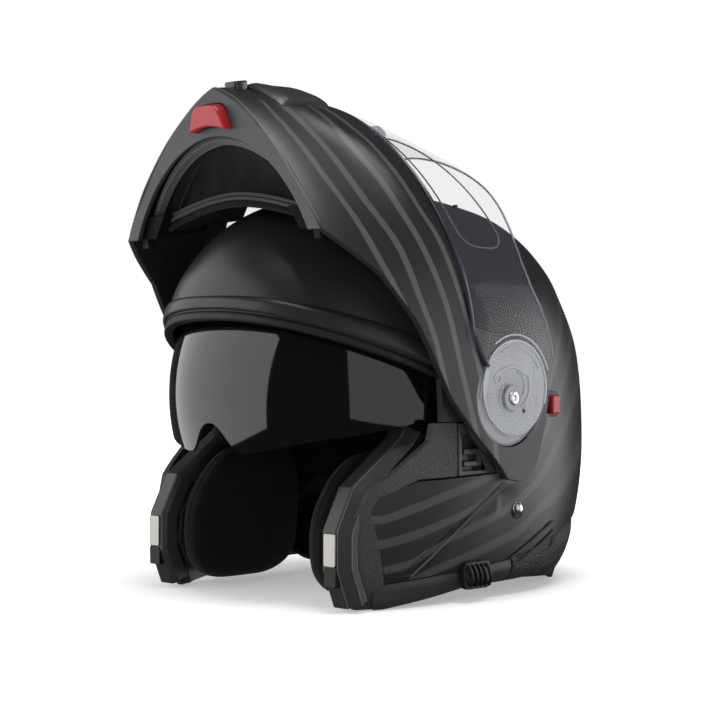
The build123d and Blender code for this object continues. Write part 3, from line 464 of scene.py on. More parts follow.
def cut(piece, tool, operation="DIFFERENCE"):
    """Applies a boolean of the tool to the piece and removes the tool."""
    change = piece.modifiers.new("cut", "BOOLEAN")
    change.operation, change.object, change.solver = operation, tool, "EXACT"
    result = bpy.data.meshes.new_from_object(piece.evaluated_get(bpy.context.evaluated_depsgraph_get()))
    piece.modifiers.clear()
    old = piece.data
    piece.data = result
    result.name = old.name
    bpy.data.meshes.remove(old)
    drop(tool)
    return piece


def drop(piece):
    """Removes a helper object and its mesh."""
    mesh = piece.data
    bpy.data.objects.remove(piece)
    bpy.data.meshes.remove(mesh)


def vertices(piece):
    """The mesh's points as an array."""
    flat = np.empty(len(piece.data.vertices) * 3, np.float32)
    piece.data.vertices.foreach_get("co", flat)
    return flat.reshape(-1, 3).astype(float)


def line_number(y, height, curves):
    """How many of the curves lie under each side-view point, growing evenly from curve to curve."""
    levels = np.array([np.interp(y, curve[:, 0], curve[:, 1]) for curve in curves])
    gaps = np.diff(levels, axis=0)
    gaps = np.concatenate((gaps[:1], gaps, gaps[-1:]))
    number = np.minimum((height - levels[0]) / gaps[0], 0)
    for k in range(len(curves) - 1):
        number = number + np.clip((height - levels[k]) / gaps[k + 1], 0, 1)
    return number + np.maximum((height - levels[-1]) / gaps[-1], 0)


def pattern(piece, name, values):
    """Writes one number per vertex, for lines in the paint."""
    layer = piece.data.attributes.new(name, "FLOAT", "POINT")
    layer.data.foreach_set("value", np.asarray(values, np.float32))


def finish(piece, material, body, slot, *replaced, sharp=35):
    """Smooth shading with sharp creases, a material, a body and the nodes that the piece stands for."""
    piece.data.materials.clear()
    piece.data.materials.append(material)
    piece.data.polygons.foreach_set("use_smooth", np.ones(len(piece.data.polygons), bool))
    piece.data.set_sharp_from_angle(angle=np.radians(sharp))
    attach(piece, body)
    if replaced:
        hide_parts(*replaced)
    return piece


# Materials


def math_node(tree, operation, *values):
    """A math node fed by sockets or by plain numbers."""
    node = tree.nodes.new("ShaderNodeMath")
    node.operation = operation
    for socket, value in zip(node.inputs, values):
        if isinstance(value, bpy.types.NodeSocket):
            tree.links.new(value, socket)
        else:
            socket.default_value = value
    return node.outputs["Value"]


class Nodes:
    """A material's node tree with short calls for the nodes that the finishes share."""

    def __init__(self, name):
        old = bpy.data.materials.get(name)
        if old:
            bpy.data.materials.remove(old)
        self.material = bpy.data.materials.new(name)
        self.material.use_nodes = True
        self.tree = self.material.node_tree
        self.shader = self.tree.nodes["Principled BSDF"]
        self.place = self.add("ShaderNodeTexCoord").outputs["Object"]

    def add(self, kind, **values):
        node = self.tree.nodes.new(kind)
        for key, value in values.items():
            setattr(node, key, value)
        return node

    def join(self, start, end):
        self.tree.links.new(start, end)

    def noise(self, scale, detail=3.0, stretch=None):
        node = self.add("ShaderNodeTexNoise")
        node.inputs["Scale"].default_value = scale
        node.inputs["Detail"].default_value = detail
        source = self.place
        if stretch:
            turn = self.add("ShaderNodeMapping")
            turn.inputs["Scale"].default_value = stretch
            self.join(source, turn.inputs["Vector"])
            source = turn.outputs["Vector"]
        self.join(source, node.inputs["Vector"])
        return node.outputs["Fac"]

    def spread(self, source, low, high):
        node = self.add("ShaderNodeMapRange")
        node.inputs["From Min"].default_value, node.inputs["From Max"].default_value = 0.3, 0.7
        node.inputs["To Min"].default_value, node.inputs["To Max"].default_value = low, high
        self.join(source, node.inputs["Value"])
        return node.outputs["Result"]

    def mix(self, factor, first, second):
        node = self.add("ShaderNodeMix", data_type="RGBA")
        self.join(factor, node.inputs["Factor"])
        for socket, value in ((node.inputs["A"], first), (node.inputs["B"], second)):
            if isinstance(value, bpy.types.NodeSocket):
                self.join(value, socket)
            else:
                socket.default_value = (*value, 1)
        return node.outputs["Result"]

    def bump(self, source, distance, strength=1.0, under=None):
        node = self.add("ShaderNodeBump")
        node.inputs["Distance"].default_value = distance
        node.inputs["Strength"].default_value = strength
        self.join(source, node.inputs["Height"])
        if under:
            self.join(under, node.inputs["Normal"])
        return node.outputs["Normal"]

    def math(self, operation, *values):
        return math_node(self.tree, operation, *values)

    def ramp(self, source, start, end, low, high):
        node = self.add("ShaderNodeMapRange", interpolation_type="SMOOTHSTEP")
        for socket, value in zip(("From Min", "From Max", "To Min", "To Max"), (start, end, low, high)):
            node.inputs[socket].default_value = value
        self.join(source, node.inputs["Value"])
        return node.outputs["Result"]

    def lines(self, attribute, count, half_width, soft):
        """One where the piece's line number is near a whole number under the count."""
        number = self.add("ShaderNodeAttribute", attribute_name=attribute).outputs["Fac"]
        off = self.math("ABSOLUTE", self.math("SUBTRACT", number, self.math("ROUND", number)))
        near = self.ramp(off, half_width - soft, half_width + soft, 1.0, 0.0)
        above = self.math("GREATER_THAN", number, -0.49)
        below = self.math("LESS_THAN", number, count - 0.51)
        return self.math("MULTIPLY", near, self.math("MULTIPLY", above, below))

    def along(self, axis):
        node = self.add("ShaderNodeSeparateXYZ")
        self.join(self.place, node.inputs["Vector"])
        return node.outputs[axis]

    def soft_edge(self, radius):
        node = self.add("ShaderNodeBevel", samples=4)
        node.inputs["Radius"].default_value = radius
        return node.outputs["Normal"]

    def colour(self, source):
        self.join(source, self.shader.inputs["Base Color"])

    def rough(self, source):
        self.join(source, self.shader.inputs["Roughness"])

    def normal(self, source):
        self.join(source, self.shader.inputs["Normal"])

    def set(self, **values):
        for key, value in values.items():
            self.shader.inputs[key.replace("_", " ")].default_value = value
        return self


def shaded(colour, share):
    """A colour made lighter or darker by a share."""
    return tuple(min(1.0, channel * share) for channel in colour)


def plastic(name, colour, rough=0.45, grain=900.0, depth=0.00006, edge=0.0006, metallic=0.0, coat=0.0):
    """Moulded plastic or plain metal: fine grain in the bump, slow changes in colour and gloss."""
    n = Nodes(name)
    n.colour(n.mix(n.noise(24.0), shaded(colour, 0.86), shaded(colour, 1.16)))
    n.rough(n.spread(n.noise(46.0), rough * 0.88, rough * 1.12))
    n.normal(n.bump(n.noise(grain, 2.0), depth, under=n.soft_edge(edge)))
    n.set(Metallic=metallic, Coat_Weight=coat, Coat_Roughness=0.2)
    return n.material


def grained(name, colour, rough=0.5):
    """Coarsely grained plastic, as on the cheek frames: pebbles from a cell texture."""
    n = Nodes(name)
    cells = n.add("ShaderNodeTexVoronoi")
    cells.inputs["Scale"].default_value = 800.0
    n.join(n.place, cells.inputs["Vector"])
    n.colour(n.mix(n.noise(30.0), shaded(colour, 0.8), shaded(colour, 1.25)))
    n.rough(n.spread(n.noise(300.0), rough * 0.85, rough * 1.15))
    n.normal(n.bump(cells.outputs["Distance"], 0.0006, under=n.soft_edge(0.0007)))
    return n.material


def painted(name, colour, stripe, count, width, fade, crease=0):
    """Matt paint with fine flake, stripes at whole line numbers, and raised creases if it has any."""
    n = Nodes(name)
    mask = n.lines("stripe_place", count, width, 0.03)
    axis, start, end, low, high = fade
    where = n.along(axis)
    if axis == "X":
        where = n.math("ABSOLUTE", where)
    mask = n.math("MULTIPLY", mask, n.ramp(where, start, end, low, high))
    base = n.mix(n.noise(14.0), shaded(colour, 0.92), shaded(colour, 1.1))
    light = n.mix(n.noise(20.0), shaded(stripe, 0.9), shaded(stripe, 1.1))
    n.colour(n.mix(mask, base, light))
    n.rough(n.spread(n.noise(1600.0), 0.306, 0.432))
    under = n.soft_edge(0.0009)
    if crease:
        under = n.bump(n.lines("crease_place", crease, 0.10, 0.08), 0.0007, under=under)
    n.normal(n.bump(n.noise(2400.0, 2.0), 0.00003, under=under))
    n.set(Coat_Weight=0.10, Coat_Roughness=0.3)
    return n.material


def stitched(name, colour, thread, pitch):
    """Cloth with dashes of thread: the dashes follow the piece's first UV, the seam its second."""
    n = Nodes(name)
    uv = n.add("ShaderNodeSeparateXYZ")
    n.join(n.add("ShaderNodeTexCoord").outputs["UV"], uv.inputs["Vector"])
    dash = n.math("GREATER_THAN", n.math("FRACT", n.math("DIVIDE", uv.outputs["X"], pitch)), 0.4)
    line = n.ramp(n.math("ABSOLUTE", n.math("SUBTRACT", uv.outputs["Y"], 0.5)), 0.07, 0.10, 1.0, 0.0)
    mask = n.math("MULTIPLY", dash, line)
    n.colour(n.mix(mask, n.mix(n.noise(900.0), shaded(colour, 0.6), shaded(colour, 1.4)), thread))
    n.rough(n.spread(n.noise(60.0), 0.82, 0.95))
    n.normal(n.bump(mask, 0.0004, under=n.bump(n.noise(1100.0), 0.0002)))
    n.set(Sheen_Weight=0.3, Sheen_Roughness=0.5)
    return n.material


def cloth(name, colour, scale=900.0, depth=0.00035, sheen=0.06):
    """Knitted cloth: two crossed waves give the loops, noise gives the nap."""
    n = Nodes(name)
    waves = []
    for stretch in ((1, 1, 0.4), (0.4, 1, 1)):
        turn = n.add("ShaderNodeMapping")
        turn.inputs["Scale"].default_value = stretch
        n.join(n.place, turn.inputs["Vector"])
        wave = n.add("ShaderNodeTexWave", wave_type="BANDS", bands_direction="DIAGONAL")
        wave.inputs["Scale"].default_value = scale * 0.5
        wave.inputs["Distortion"].default_value = 1.2
        n.join(turn.outputs["Vector"], wave.inputs["Vector"])
        waves.append(wave.outputs["Fac"])
    weave = n.math("MULTIPLY", *waves)
    n.colour(n.mix(weave, shaded(colour, 0.6), shaded(colour, 1.5)))
    n.rough(n.spread(n.noise(60.0), 0.855, 0.972))
    n.normal(n.bump(weave, depth, 0.8, under=n.bump(n.noise(70.0), 0.0012, 0.5)))
    n.set(Sheen_Weight=sheen, Sheen_Roughness=0.5, Specular_IOR_Level=0.2)
    return n.material


def brushed(name, colour):
    """Brushed steel: noise stretched along the grain."""
    n = Nodes(name)
    grain = n.noise(500.0, 4.0, stretch=(1.0, 1.0, 0.03))
    n.colour(n.mix(grain, shaded(colour, 0.82), shaded(colour, 1.12)))
    n.rough(n.spread(grain, 0.21, 0.378))
    n.normal(n.bump(grain, 0.00004, under=n.soft_edge(0.0004)))
    n.set(Metallic=1.0)
    return n.material


def clear_lens(name, colour, alpha=0.085):
    """Clear polycarbonate: almost see-through, with a hard coat that takes the light."""
    n = Nodes(name)
    n.colour(n.mix(n.noise(9.0), shaded(colour, 0.97), colour))
    n.rough(n.spread(n.noise(40.0), 0.02, 0.05))
    n.set(Alpha=alpha, Specular_IOR_Level=0.5, Coat_Weight=0.2, Coat_Roughness=0.03)
    return n.material


def dark_lens(name, colour):
    """Smoked polycarbonate: nearly black, very glossy."""
    n = Nodes(name)
    n.colour(n.mix(n.noise(7.0), shaded(colour, 0.9), shaded(colour, 1.2)))
    n.rough(n.spread(n.noise(30.0), 0.04, 0.075))
    n.normal(n.bump(n.noise(9.0), 0.0002, 0.25, under=n.soft_edge(0.0006)))
    n.set(Alpha=0.94, Coat_Weight=0.5, Coat_Roughness=0.02, Specular_IOR_Level=0.6)
    return n.material


# Shell


def smooth_line(points, count=90):
    """A line through the points without corners."""
    return smooth_table(points, np.linspace(0, len(points) - 1, count))


# Side-view lines of the paint, from the lowest to the highest
SHELL_STRIPES = [
    smooth_line(mm(*curve))
    for curve in (
        [(-75, -113), (-39, -102), (-14, -96), (23, -85), (42, -73), (66, -61.6), (95, -42), (122, -27),
         (152, -21)],
        [(-87, -103), (-70, -99.6), (-57, -92.6), (-25, -81), (1, -73), (19.5, -65), (40, -53), (63, -29),
         (90, 1), (119, 22), (152, 30)],
        [(-89, -86), (-66, -81), (-43, -74.7), (-18, -67), (0, -57.5), (30, -40), (60, -5), (86, 29),
         (115, 52), (152, 61)],
        [(-91, -71.4), (-53, -60.6), (-20, -52), (0, -46), (20, -35), (50, 6), (76, 44), (106, 71),
         (152, 82)],
    )
]
SHELL_CREASES = [
    mm(*curve)
    for curve in (
        [(-68, -107.5), (-49, -92), (-26, -74.7), (-0.5, -57.4)],
        [(-77, -105), (-43, -80.4), (1.6, -53.6)],
    )
]
CHIN_STRIPES = [
    smooth_line(mm(*curve))
    for curve in (
        [(-200, -88), (-188, -91.3), (-156, -93), (-138, -91), (-120, -88), (-99, -85), (-79, -80),
         (-42, -70)],
        [(-198, -78), (-172, -77), (-139, -75.7), (-122, -71.7), (-103, -66.8), (-73, -65), (-43, -59.3),
         (0, -52)],
        [(-197, -55), (-167, -58), (-145, -54.4), (-126, -53), (-106, -49.9), (-71, -45), (-33, -41.5),
         (16, -33.5)],
        [(-179, -42.4), (-159, -41.9), (-142, -40.6), (-123, -38.8), (-104, -34.4), (-60, -31), (-33, -27),
         (16, -18)],
    )
]
BROW_EDGE = mm((-160, 61.2), (-151.8, 57.0), (-51.0, 17.8), (-40, 13.5))
BROW_GROOVE = mm((-160, 66), (-142.5, 63.5), (-135, 62), (-111, 54.5), (-78, 43.8), (-63, 36), (-44, 24))
# How far the brow band and the seal run round the head to each side, in radians
BROW_TURN = 1.33
# The line number of paint that no line crosses
NO_LINE = -9.0


def shell_solid(name, outer, inner, high, around, up):
    """The shell as a closed wall between two insets, from its base up to a row of its sections."""
    turns = np.linspace(0, 2 * np.pi, around, endpoint=False)
    places = np.linspace(0, high, up)
    grids = [at_pivot(shell_rings(places, turns, inset)) for inset in (outer, inner)]
    return walled_grid(name, *grids, loop_u=True)


def at_height(shape, heights, axis):
    """Where the columns of a form's points are along an axis, at a height for each column."""
    return np.array([np.interp(h, shape[:, k, 2], shape[:, k, axis]) for k, h in enumerate(heights)])


def band_between(name, low_line, high_line, insets, back, start, end, steps=220):
    """A band round the shell between two side lines, its section given by an inset for each row."""
    turns = np.linspace(start, end, steps)
    shapes = {inset: shell_rings(np.linspace(1.5, 8.5, 140), turns, inset) for inset in {0.0, back, *insets}}
    y = shapes[0.0][70, :, 1]
    # The lines' heights depend on y, and y on the height, so a few rounds settle both
    for _ in range(5):
        low, high = (np.interp(y, line[:, 0], line[:, 1]) for line in (low_line, high_line))
        y = at_height(shapes[0.0], (low + high) / 2, 1)
    wanted = low + (high - low) * np.linspace(0, 1, len(insets))[:, None]
    grids = []
    for row_insets in (insets, [back] * len(insets)):
        rows = [(shapes[inset], heights) for inset, heights in zip(row_insets, wanted)]
        x, y = ([at_height(*row, axis) for row in rows] for axis in (0, 1))
        grids.append(at_pivot(np.stack((x, y, wanted), -1)))
    return walled_grid(name, *grids)


def rounded_rows(proud, sink, rows=9):
    """Insets of a band's rows that swell to a proud middle and sink at both edges."""
    t = np.linspace(-1, 1, rows)
    return list(np.round(sink - (sink + proud) * np.sqrt(np.clip(1 - np.abs(t) ** 3, 0, 1)), 6))


def dress(material, *names):
    """Gives plain CAD nodes a material."""
    for name in names:
        for hand in ("", "_left", "_right"):
            node = NODES.get(name + hand)
            if node:
                node.data.materials.clear()
                node.data.materials.append(material)


class HELMET_OT_outer_shell(Part, bpy.types.Operator):
    """Painted hard shell with its side stripes, creases and brow band"""

    bl_idname = "helmet.outer_shell"
    bl_label = "Outer Shell"

    def build(self, s, c):
        outer = ("shell", "outer_shell", "outer_shell")
        shell = shell_solid("painted_shell", 0.0, s.shell_wall, 14.0, 320, 140)
        cut(shell, prism("face_cutter", OPENING_EDGE, *ACROSS, at_pivot))
        below = [(0.3, -0.08), (0.3, -0.3), (-0.3, -0.3), (-0.3, RIM_EDGE[0, 1])]
        cut(shell, prism("rim_cutter", np.concatenate((RIM_EDGE, below)), *ACROSS, at_pivot))
        for hand in (-1, 1):
            cut(shell, disc("seat_cutter", (0, 0), 0.0264, hand * 0.1113, hand * 0.13, at_pivot))
        points = vertices(shell) - PIVOT
        creased = line_number(points[:, 1], points[:, 2], SHELL_CREASES)
        self.hollow(shell, points, creased)
        pattern(shell, "stripe_place", line_number(points[:, 1], points[:, 2], SHELL_STRIPES))
        with_crease = (points[:, 1] > -0.085) & (points[:, 1] < 0.001)
        pattern(shell, "crease_place", np.where(with_crease, creased, NO_LINE))
        fade = ("Y", 0.02, 0.13, 1.0, 0.6)
        paint = painted("shell_paint", c.paint, shaded(c.stripe, 0.62), 4, 0.17, fade, crease=2)
        finish(shell, paint, *outer)
        plain = plastic("brow_paint", c.paint, rough=0.38, grain=2400.0, depth=0.00003, edge=0.0009, coat=0.1)
        rows = rounded_rows(0.0026, 0.0010, 15)
        ends = (-BROW_TURN, BROW_TURN)
        band = band_between("brow_band", BROW_EDGE + (0, 0.0006), BROW_GROOVE, rows, 0.0034, *ends)
        finish(band, plain, *outer)
        # The ridges take a paint lighter than the stripes: a painted highlight along the creases.
        self.ridges(plastic("ridge_painted_highlight", shaded(c.stripe, 1.2), rough=0.3))
        low, high = BROW_EDGE - (0, 0.0062), BROW_EDGE + (0, 0.0004)
        rows = rounded_rows(0.0004, 0.003)
        lip = band_between("opening_seal", low, high, rows, 0.0052, *ends)
        finish(lip, plastic("seal_rubber", c.rubber, rough=0.55, edge=0.001), "shell", "brow_seal", "brow_seal")

    def hollow(self, shell, points, creased):
        """Hollows the panel under the creases a little, which is what makes the creases catch light."""
        below = np.interp(creased, (-4, -0.6, 0.4, 1.2, 3), (0, 1, 0, -0.5, 0))
        ahead = np.interp(points[:, 1], (-0.095, -0.08, -0.005, 0.02), (0, 1, 1, 0))
        side = np.interp(np.abs(points[:, 0]), (0.080, 0.092), (0, 1))
        low = np.interp(points[:, 2], (-0.13, -0.1, -0.05, -0.045), (1, 1, 1, 0))
        moved = vertices(shell)
        moved[:, 0] -= np.sign(points[:, 0]) * 0.0016 * below * ahead * side * low
        shell.data.vertices.foreach_set("co", moved.astype(np.float32).ravel())

    def ridges(self, paint):
        """Two sharp ridges that run together over the panel under the creases, in a paint lighter than the
        stripes as a painted highlight along each crease.
        """
        for number, line in enumerate(SHELL_CREASES):
            side = smooth_line(line[np.argsort(line[:, 0])], 60)
            for hand, name in HANDS:
                path = on_side(hand, side, 0.0001)
                ridge = tube("crease_%d_%s" % (number, name), path, 0.0005, at_pivot, sides=8)
                finish(ridge, paint, "shell", "outer_shell", "outer_shell")


def disc(name, centre, radius, left, right, place, steps=64):
    """A round solid across the helmet, about a place in the side view."""
    outline = circle_edge(centre, (radius, radius), 0, 2 * np.pi, steps + 1)[:-1]
    return prism(name, outline, left, right, place)


# The cheek frame's nose: its side-view path, and its section as half width and depth
NOSE_PATH = mm(
    (-58.4, -16.0), (-63.8, -23.5), (-104.7, -52.1), (-118.0, -77.5), (-118.0, -101.6), (-108.8, -124.6)
)
NOSE_SECTION = mm(
    (74.2, 12.0), (74.2, 3.0), (75.6, 0.6), (77.2, 0.0), (86.6, 0.0), (88.2, 0.7), (94.2, 7.0),
    (94.2, 12.0),
)
PANEL_EDGE = mm(
    (-58.0, -14.5), (-39.6, -14.5), (-39.6, -47.4), (-68.7, -48.0), (-94.9, -58.2), (-99.0, -66.5),
    (-85.6, -110.8), (-85.6, -126.4), (-98.0, -126.4), (-112.6, -104.0), (-112.6, -79.0), (-99.6, -53.6),
    (-61.0, -25.0),
)
# Two raised diagonal ribs low on the cheek panel
CHEEK_RIBS = (
    [(-111.0, -98.0), (-97.0, -116.5), (-86.6, -113.0)],
    [(-107.0, -106.0), (-98.5, -120.5), (-86.6, -119.0)],
)
# Side-view boxes: front, low, back and high edge
BRACKET_PRONGS = ((-33.0, -34.5, -17.0, -31.0), (-33.0, -42.0, -20.5, -38.6), (-20.4, -42.0, -16.6, -34.4))
# Ends of the ribs on the rear skirt
SKIRT_RIBS = ([(16, -103), (60, -82)], [(22, -108), (64, -88)], [(52, -110), (72, -91)])
RIVET_PLACE = (0.019, -0.071)


def nose_solid(name, hand):
    """The cheek frame's faceted front: one section carried along a bent line, mitred at each bend.

    Gives the solid, and the lines along its two outer edges.
    """
    run = np.diff(NOSE_PATH, axis=0)
    run /= np.linalg.norm(run, axis=1, keepdims=True)
    square = np.stack((run[:, 1], -run[:, 0]), -1)
    first, last = square[:1], square[-1:]
    mitre = np.concatenate((first, square[1:] + square[:-1], last))
    mitre /= np.linalg.norm(mitre, axis=1, keepdims=True)
    grow = 1 / np.maximum((mitre * np.concatenate((first, square[1:], last))).sum(1), 0.5)
    back = -mitre * grow[:, None]
    back *= np.sign(back[2, 0])
    rings = np.empty((len(NOSE_PATH), len(NOSE_SECTION), 3))
    rings[:, :, 0] = hand * NOSE_SECTION[None, :, 0]
    rings[:, :, 1:] = NOSE_PATH[:, None] + back[:, None] * NOSE_SECTION[None, :, 1:2]
    corners = np.arange(len(NOSE_PATH))
    fine = np.linspace(0, corners[-1], 60)
    edges = [np.stack([np.interp(fine, corners, axis) for axis in rings[:, corner].T], -1) for corner in (5, 6)]
    return tidy(capped_grid(name, at_pivot(rings))), edges


class HELMET_OT_cheek_frames(Part, bpy.types.Operator):
    """Grained cheek frames with their faceted noses, striker plates and side brackets"""

    bl_idname = "helmet.cheek_frames"
    bl_label = "Cheek Frames"

    def build(self, s, c):
        # The grained panels take the trim colour made 1.4 times lighter: painted light on the panels.
        grain = grained("frame_grain_painted_light", shaded(c.trim, 1.4))
        smooth = plastic("frame_plastic", c.trim, rough=0.32, edge=0.0009)
        # Cords on the nose's two outer edges take the trim colour three times lighter: a painted highlight on
        # those edges.
        painted_highlight_edge = plastic("frame_painted_highlight", shaded(c.trim, 3.0), rough=0.25)
        gloss = plastic("recess_gloss", shaded(c.rubber, 0.15), rough=0.6)
        steel = brushed("striker_steel", c.steel)
        for hand, name in HANDS:
            frame_of = ("shell", "cheek_frame", "cheek_frame_" + name)
            panel = shell_solid("cheek_panel_" + name, -0.0002, 0.0038, 6.5, 320, 70)
            cut(panel, prism("panel_outline", PANEL_EDGE, *apart(hand, 0.074, 0.13), at_pivot), "INTERSECT")
            finish(panel, grain, *frame_of)
            eased(panel, 0.0007, 2)
            for number, line in enumerate(CHEEK_RIBS):
                places = np.linspace(0, 2, 25)
                side = np.stack([np.interp(places, (0, 1, 2), column) for column in mm(*line).T], -1)
                path = on_side(hand, side, 0.0001)
                finish(tube("cheek_rib_%d_%s" % (number, name), path, 0.0007, at_pivot), smooth, *frame_of)
            nose, edges = nose_solid("cheek_nose_" + name, hand)
            # Each edge line is a thin cord in the lighter trim colour, a painted highlight.
            for number, edge in enumerate(edges):
                line = tube("nose_highlight_%d_%s" % (number, name), edge, 0.00045, at_pivot, sides=8)
                finish(line, painted_highlight_edge, *frame_of)
            finish(nose, smooth, *frame_of, sharp=20)
            eased(nose, 0.0006, 2)
            corners = mm((77.9, -98.9), (88.0, -98.9), (88.0, -79.1), (77.9, -79.1))
            outline = rounded_outline(corners * (hand, 1), 0.0016)
            plate = prism("striker_" + name, outline, -0.1192, -0.1178, at_pivot, axis=1)
            eased(plate, 0.0004)
            finish(plate, steel, "shell", "striker_plate", "striker_plate_" + name)
            corners = mm((77.9, -111.0), (87.6, -111.0), (88.0, -99.6), (77.9, -99.6))
            outline = rounded_outline(corners * (hand, 1), 0.0010)
            recess = prism("striker_recess_" + name, outline, -0.1186, -0.1150, at_pivot, axis=1)
            finish(recess, gloss, *frame_of)
            for piece in bracket(name, hand):
                finish(piece, smooth, "shell", "side_plate", "side_plate_" + name)


def bracket(name, hand):
    """The side plate behind the cheek panel: a framed plate, and two bent prongs over a dark slot."""
    outline = mm((-38.6, -15.0), (-22.6, -15.0), (-3.6, -46.8), (-38.6, -47.4))
    window = mm((-35.6, -22.0), (-24.4, -22.0), (-12.8, -44.6), (-35.6, -44.6))
    plate = prism("side_bracket_" + name, outline, *apart(hand, 0.1125, 0.1139), at_pivot)
    cut(plate, prism("bracket_window", window, hand * 0.1, hand * 0.12, at_pivot))
    eased(plate, 0.0004, 2)
    floor = prism("side_floor_" + name, outline, *apart(hand, 0.1093, 0.1100), at_pivot)
    prongs = []
    for number, box in enumerate(BRACKET_PRONGS):
        ahead, low, behind, high = mm(*box)
        corners = [(ahead, low), (behind, low), (behind, high), (ahead, high)]
        prong = prism("side_prong_%d_%s" % (number, name), corners, *apart(hand, 0.1098, 0.1132), at_pivot)
        prongs.append(eased(prong, 0.0004, 2))
    return [plate, floor, *prongs]


class HELMET_OT_lower_rim(Part, bpy.types.Operator):
    """Lower trims, rear spoiler, sun visor slider and rivets"""

    bl_idname = "helmet.lower_rim"
    bl_label = "Lower Rim"

    def build(self, s, c):
        trim = plastic("rim_plastic", c.trim, rough=0.40, edge=0.0009)
        grain = grained("spoiler_grain", shaded(c.trim, 0.7), rough=0.42)
        low, high = BASE_EDGE + (0, 0.0003), RIM_EDGE + (0, -0.0006)
        for hand, name in HANDS:
            rows = [0.0016, 0.0, -0.0007, -0.0007, -0.0007, 0.0002, 0.0014]
            rim = band_between("rim_trim_" + name, low, high, rows, 0.0040, *apart(hand, 0.72, 1.63), steps=90)
            finish(rim, trim, "shell", "lower_trim", "lower_trim_" + name)
        spoiler = ("shell", "rear_spoiler", "rear_spoiler")
        rows = [0.0020, 0.0, -0.0006, -0.0010, -0.0012, -0.0010, 0.0002, 0.0016]
        skirt = band_between("rear_skirt", low, high, rows, 0.0040, 1.645, 2 * np.pi - 1.645, steps=260)
        finish(skirt, grain, *spoiler)
        low, high = RIM_EDGE - (0, 0.004), RIM_EDGE + (0, 0.003)
        joint = band_between("skirt_joint", low, high, [0.0034] * 3, 0.0048, 1.2, 2 * np.pi - 1.2, steps=200)
        finish(joint, trim, *spoiler)
        for hand, name in HANDS:
            for number, line in enumerate(SKIRT_RIBS):
                path = on_side(hand, np.linspace(*line, 30) * MM, -0.0009)
                rib = tube("skirt_rib_%d_%s" % (number, name), path, 0.0006, at_pivot, sides=8)
                finish(rib, trim, *spoiler)
        self.slider(plastic("slider_plastic", c.rubber, rough=0.34, edge=0.0006))
        self.rivets(c)

    def slider(self, grip):
        """The sun visor's slider: a plate with five bent ribs."""
        slider = ("sun_visor_slider",) * 3
        outline = rounded_outline(mm((-29, -118.6), (-5, -118.6), (-5, -101.4), (-29, -101.4)), 0.004)
        base = prism("slider_grip", outline, 0.1064, 0.1105, at_pivot)
        eased(base, 0.0008)
        finish(base, grip, *slider)
        swell = 0.1106 + 0.0026 * np.sin(np.linspace(0.15, np.pi - 0.15, 12))
        for number, y in enumerate((-25.6, -21.2, -17.0, -12.8, -8.6)):
            path = beside(swell, np.linspace((y - 1.0, -103.4), (y + 1.6, -116.8), 12) * MM)
            finish(tube("slider_rib_%d" % number, path, 0.0011, at_pivot), grip, *slider)

    def rivets(self, c):
        """Domed rivet heads, each in a dark ring."""
        chrome = plastic("chrome", (0.90, 0.90, 0.91), rough=0.27, grain=300.0, depth=0.00001, metallic=1.0)
        dark = plastic("rivet_seat", shaded(c.rubber, 0.5), rough=0.4)
        t = np.linspace(0, np.pi / 2, 12)[:-1]
        dome = np.stack((0.0040 * np.cos(t) ** 0.9, 0.1127 + 0.0024 * np.sin(t)), -1)
        rim = [(0.0046, 0.1112), (0.0048, 0.1121), (0.0044, 0.1127)]
        profile = np.concatenate((rim, dome, [(0.00005, 0.1151)]))
        ring = [(0.0047, 0.1110), (0.0047, 0.1122), (0.0056, 0.1126), (0.0062, 0.1121), (0.0062, 0.1110)]
        for hand, name in HANDS:
            head = turned("rivet_head_" + name, profile, RIVET_PLACE, hand, at_pivot)
            finish(head, chrome, "shell", "strap_rivets", "strap_rivets", sharp=75)
            seat = turned("rivet_seat_" + name, ring + ring[:1], RIVET_PLACE, hand, at_pivot)
            finish(seat, dark, "shell", "strap_rivets", "strap_rivets")


# Chin bar


def face_solid(
    name, front_out, side_out, front_in, side_in, rows=90, steps=190, soften=0.0, high=0.0963, relief=None
):
    """The face's form as a closed wall between two insets, open at the back and at both ends."""
    back = sizes().face_back
    heights = np.linspace(-0.1255, high, rows)
    outside = face_rings(heights, steps, front_out, side_out, back)
    inside = face_rings(heights, steps, front_in, side_in, back, soften)
    if relief:
        outside = relief(outside)
    return walled_grid(name, lifted(outside), lifted(inside))


def chin_relief(points):
    """Swells the chin bar's outside along a ridge from the scoop to the arm."""
    y, height = points[..., 1], points[..., 2]
    ridge = np.interp(y, mm(-200, -180, -166, -148, -120, -90), mm(-66, -58, -49, -44, -43, -42))
    fade = np.interp(y, mm(-205, -192, -165, -130, -80), (0, 1, 1, 0.6, 0))
    swell = 0.0024 * fade * np.exp(-(((height - ridge) / 0.011) ** 2))
    out = points.copy()
    out[..., 0] += np.sign(points[..., 0]) * swell * np.minimum(np.abs(points[..., 0]) / 0.03, 1) * 0.8
    out[..., 1] -= swell * 0.6
    return out


def facing_in(bar, closed):
    """Which of the chin bar's points lie on its inside, from their normals."""
    normal = np.empty(len(closed) * 3, np.float32)
    bar.data.vertices.foreach_get("normal", normal)
    facing = shut(vertices(bar) + normal.reshape(-1, 3) * MM) - closed
    return (facing[:, :2] * (closed[:, :2] - (0, -0.06))).sum(1) < 0


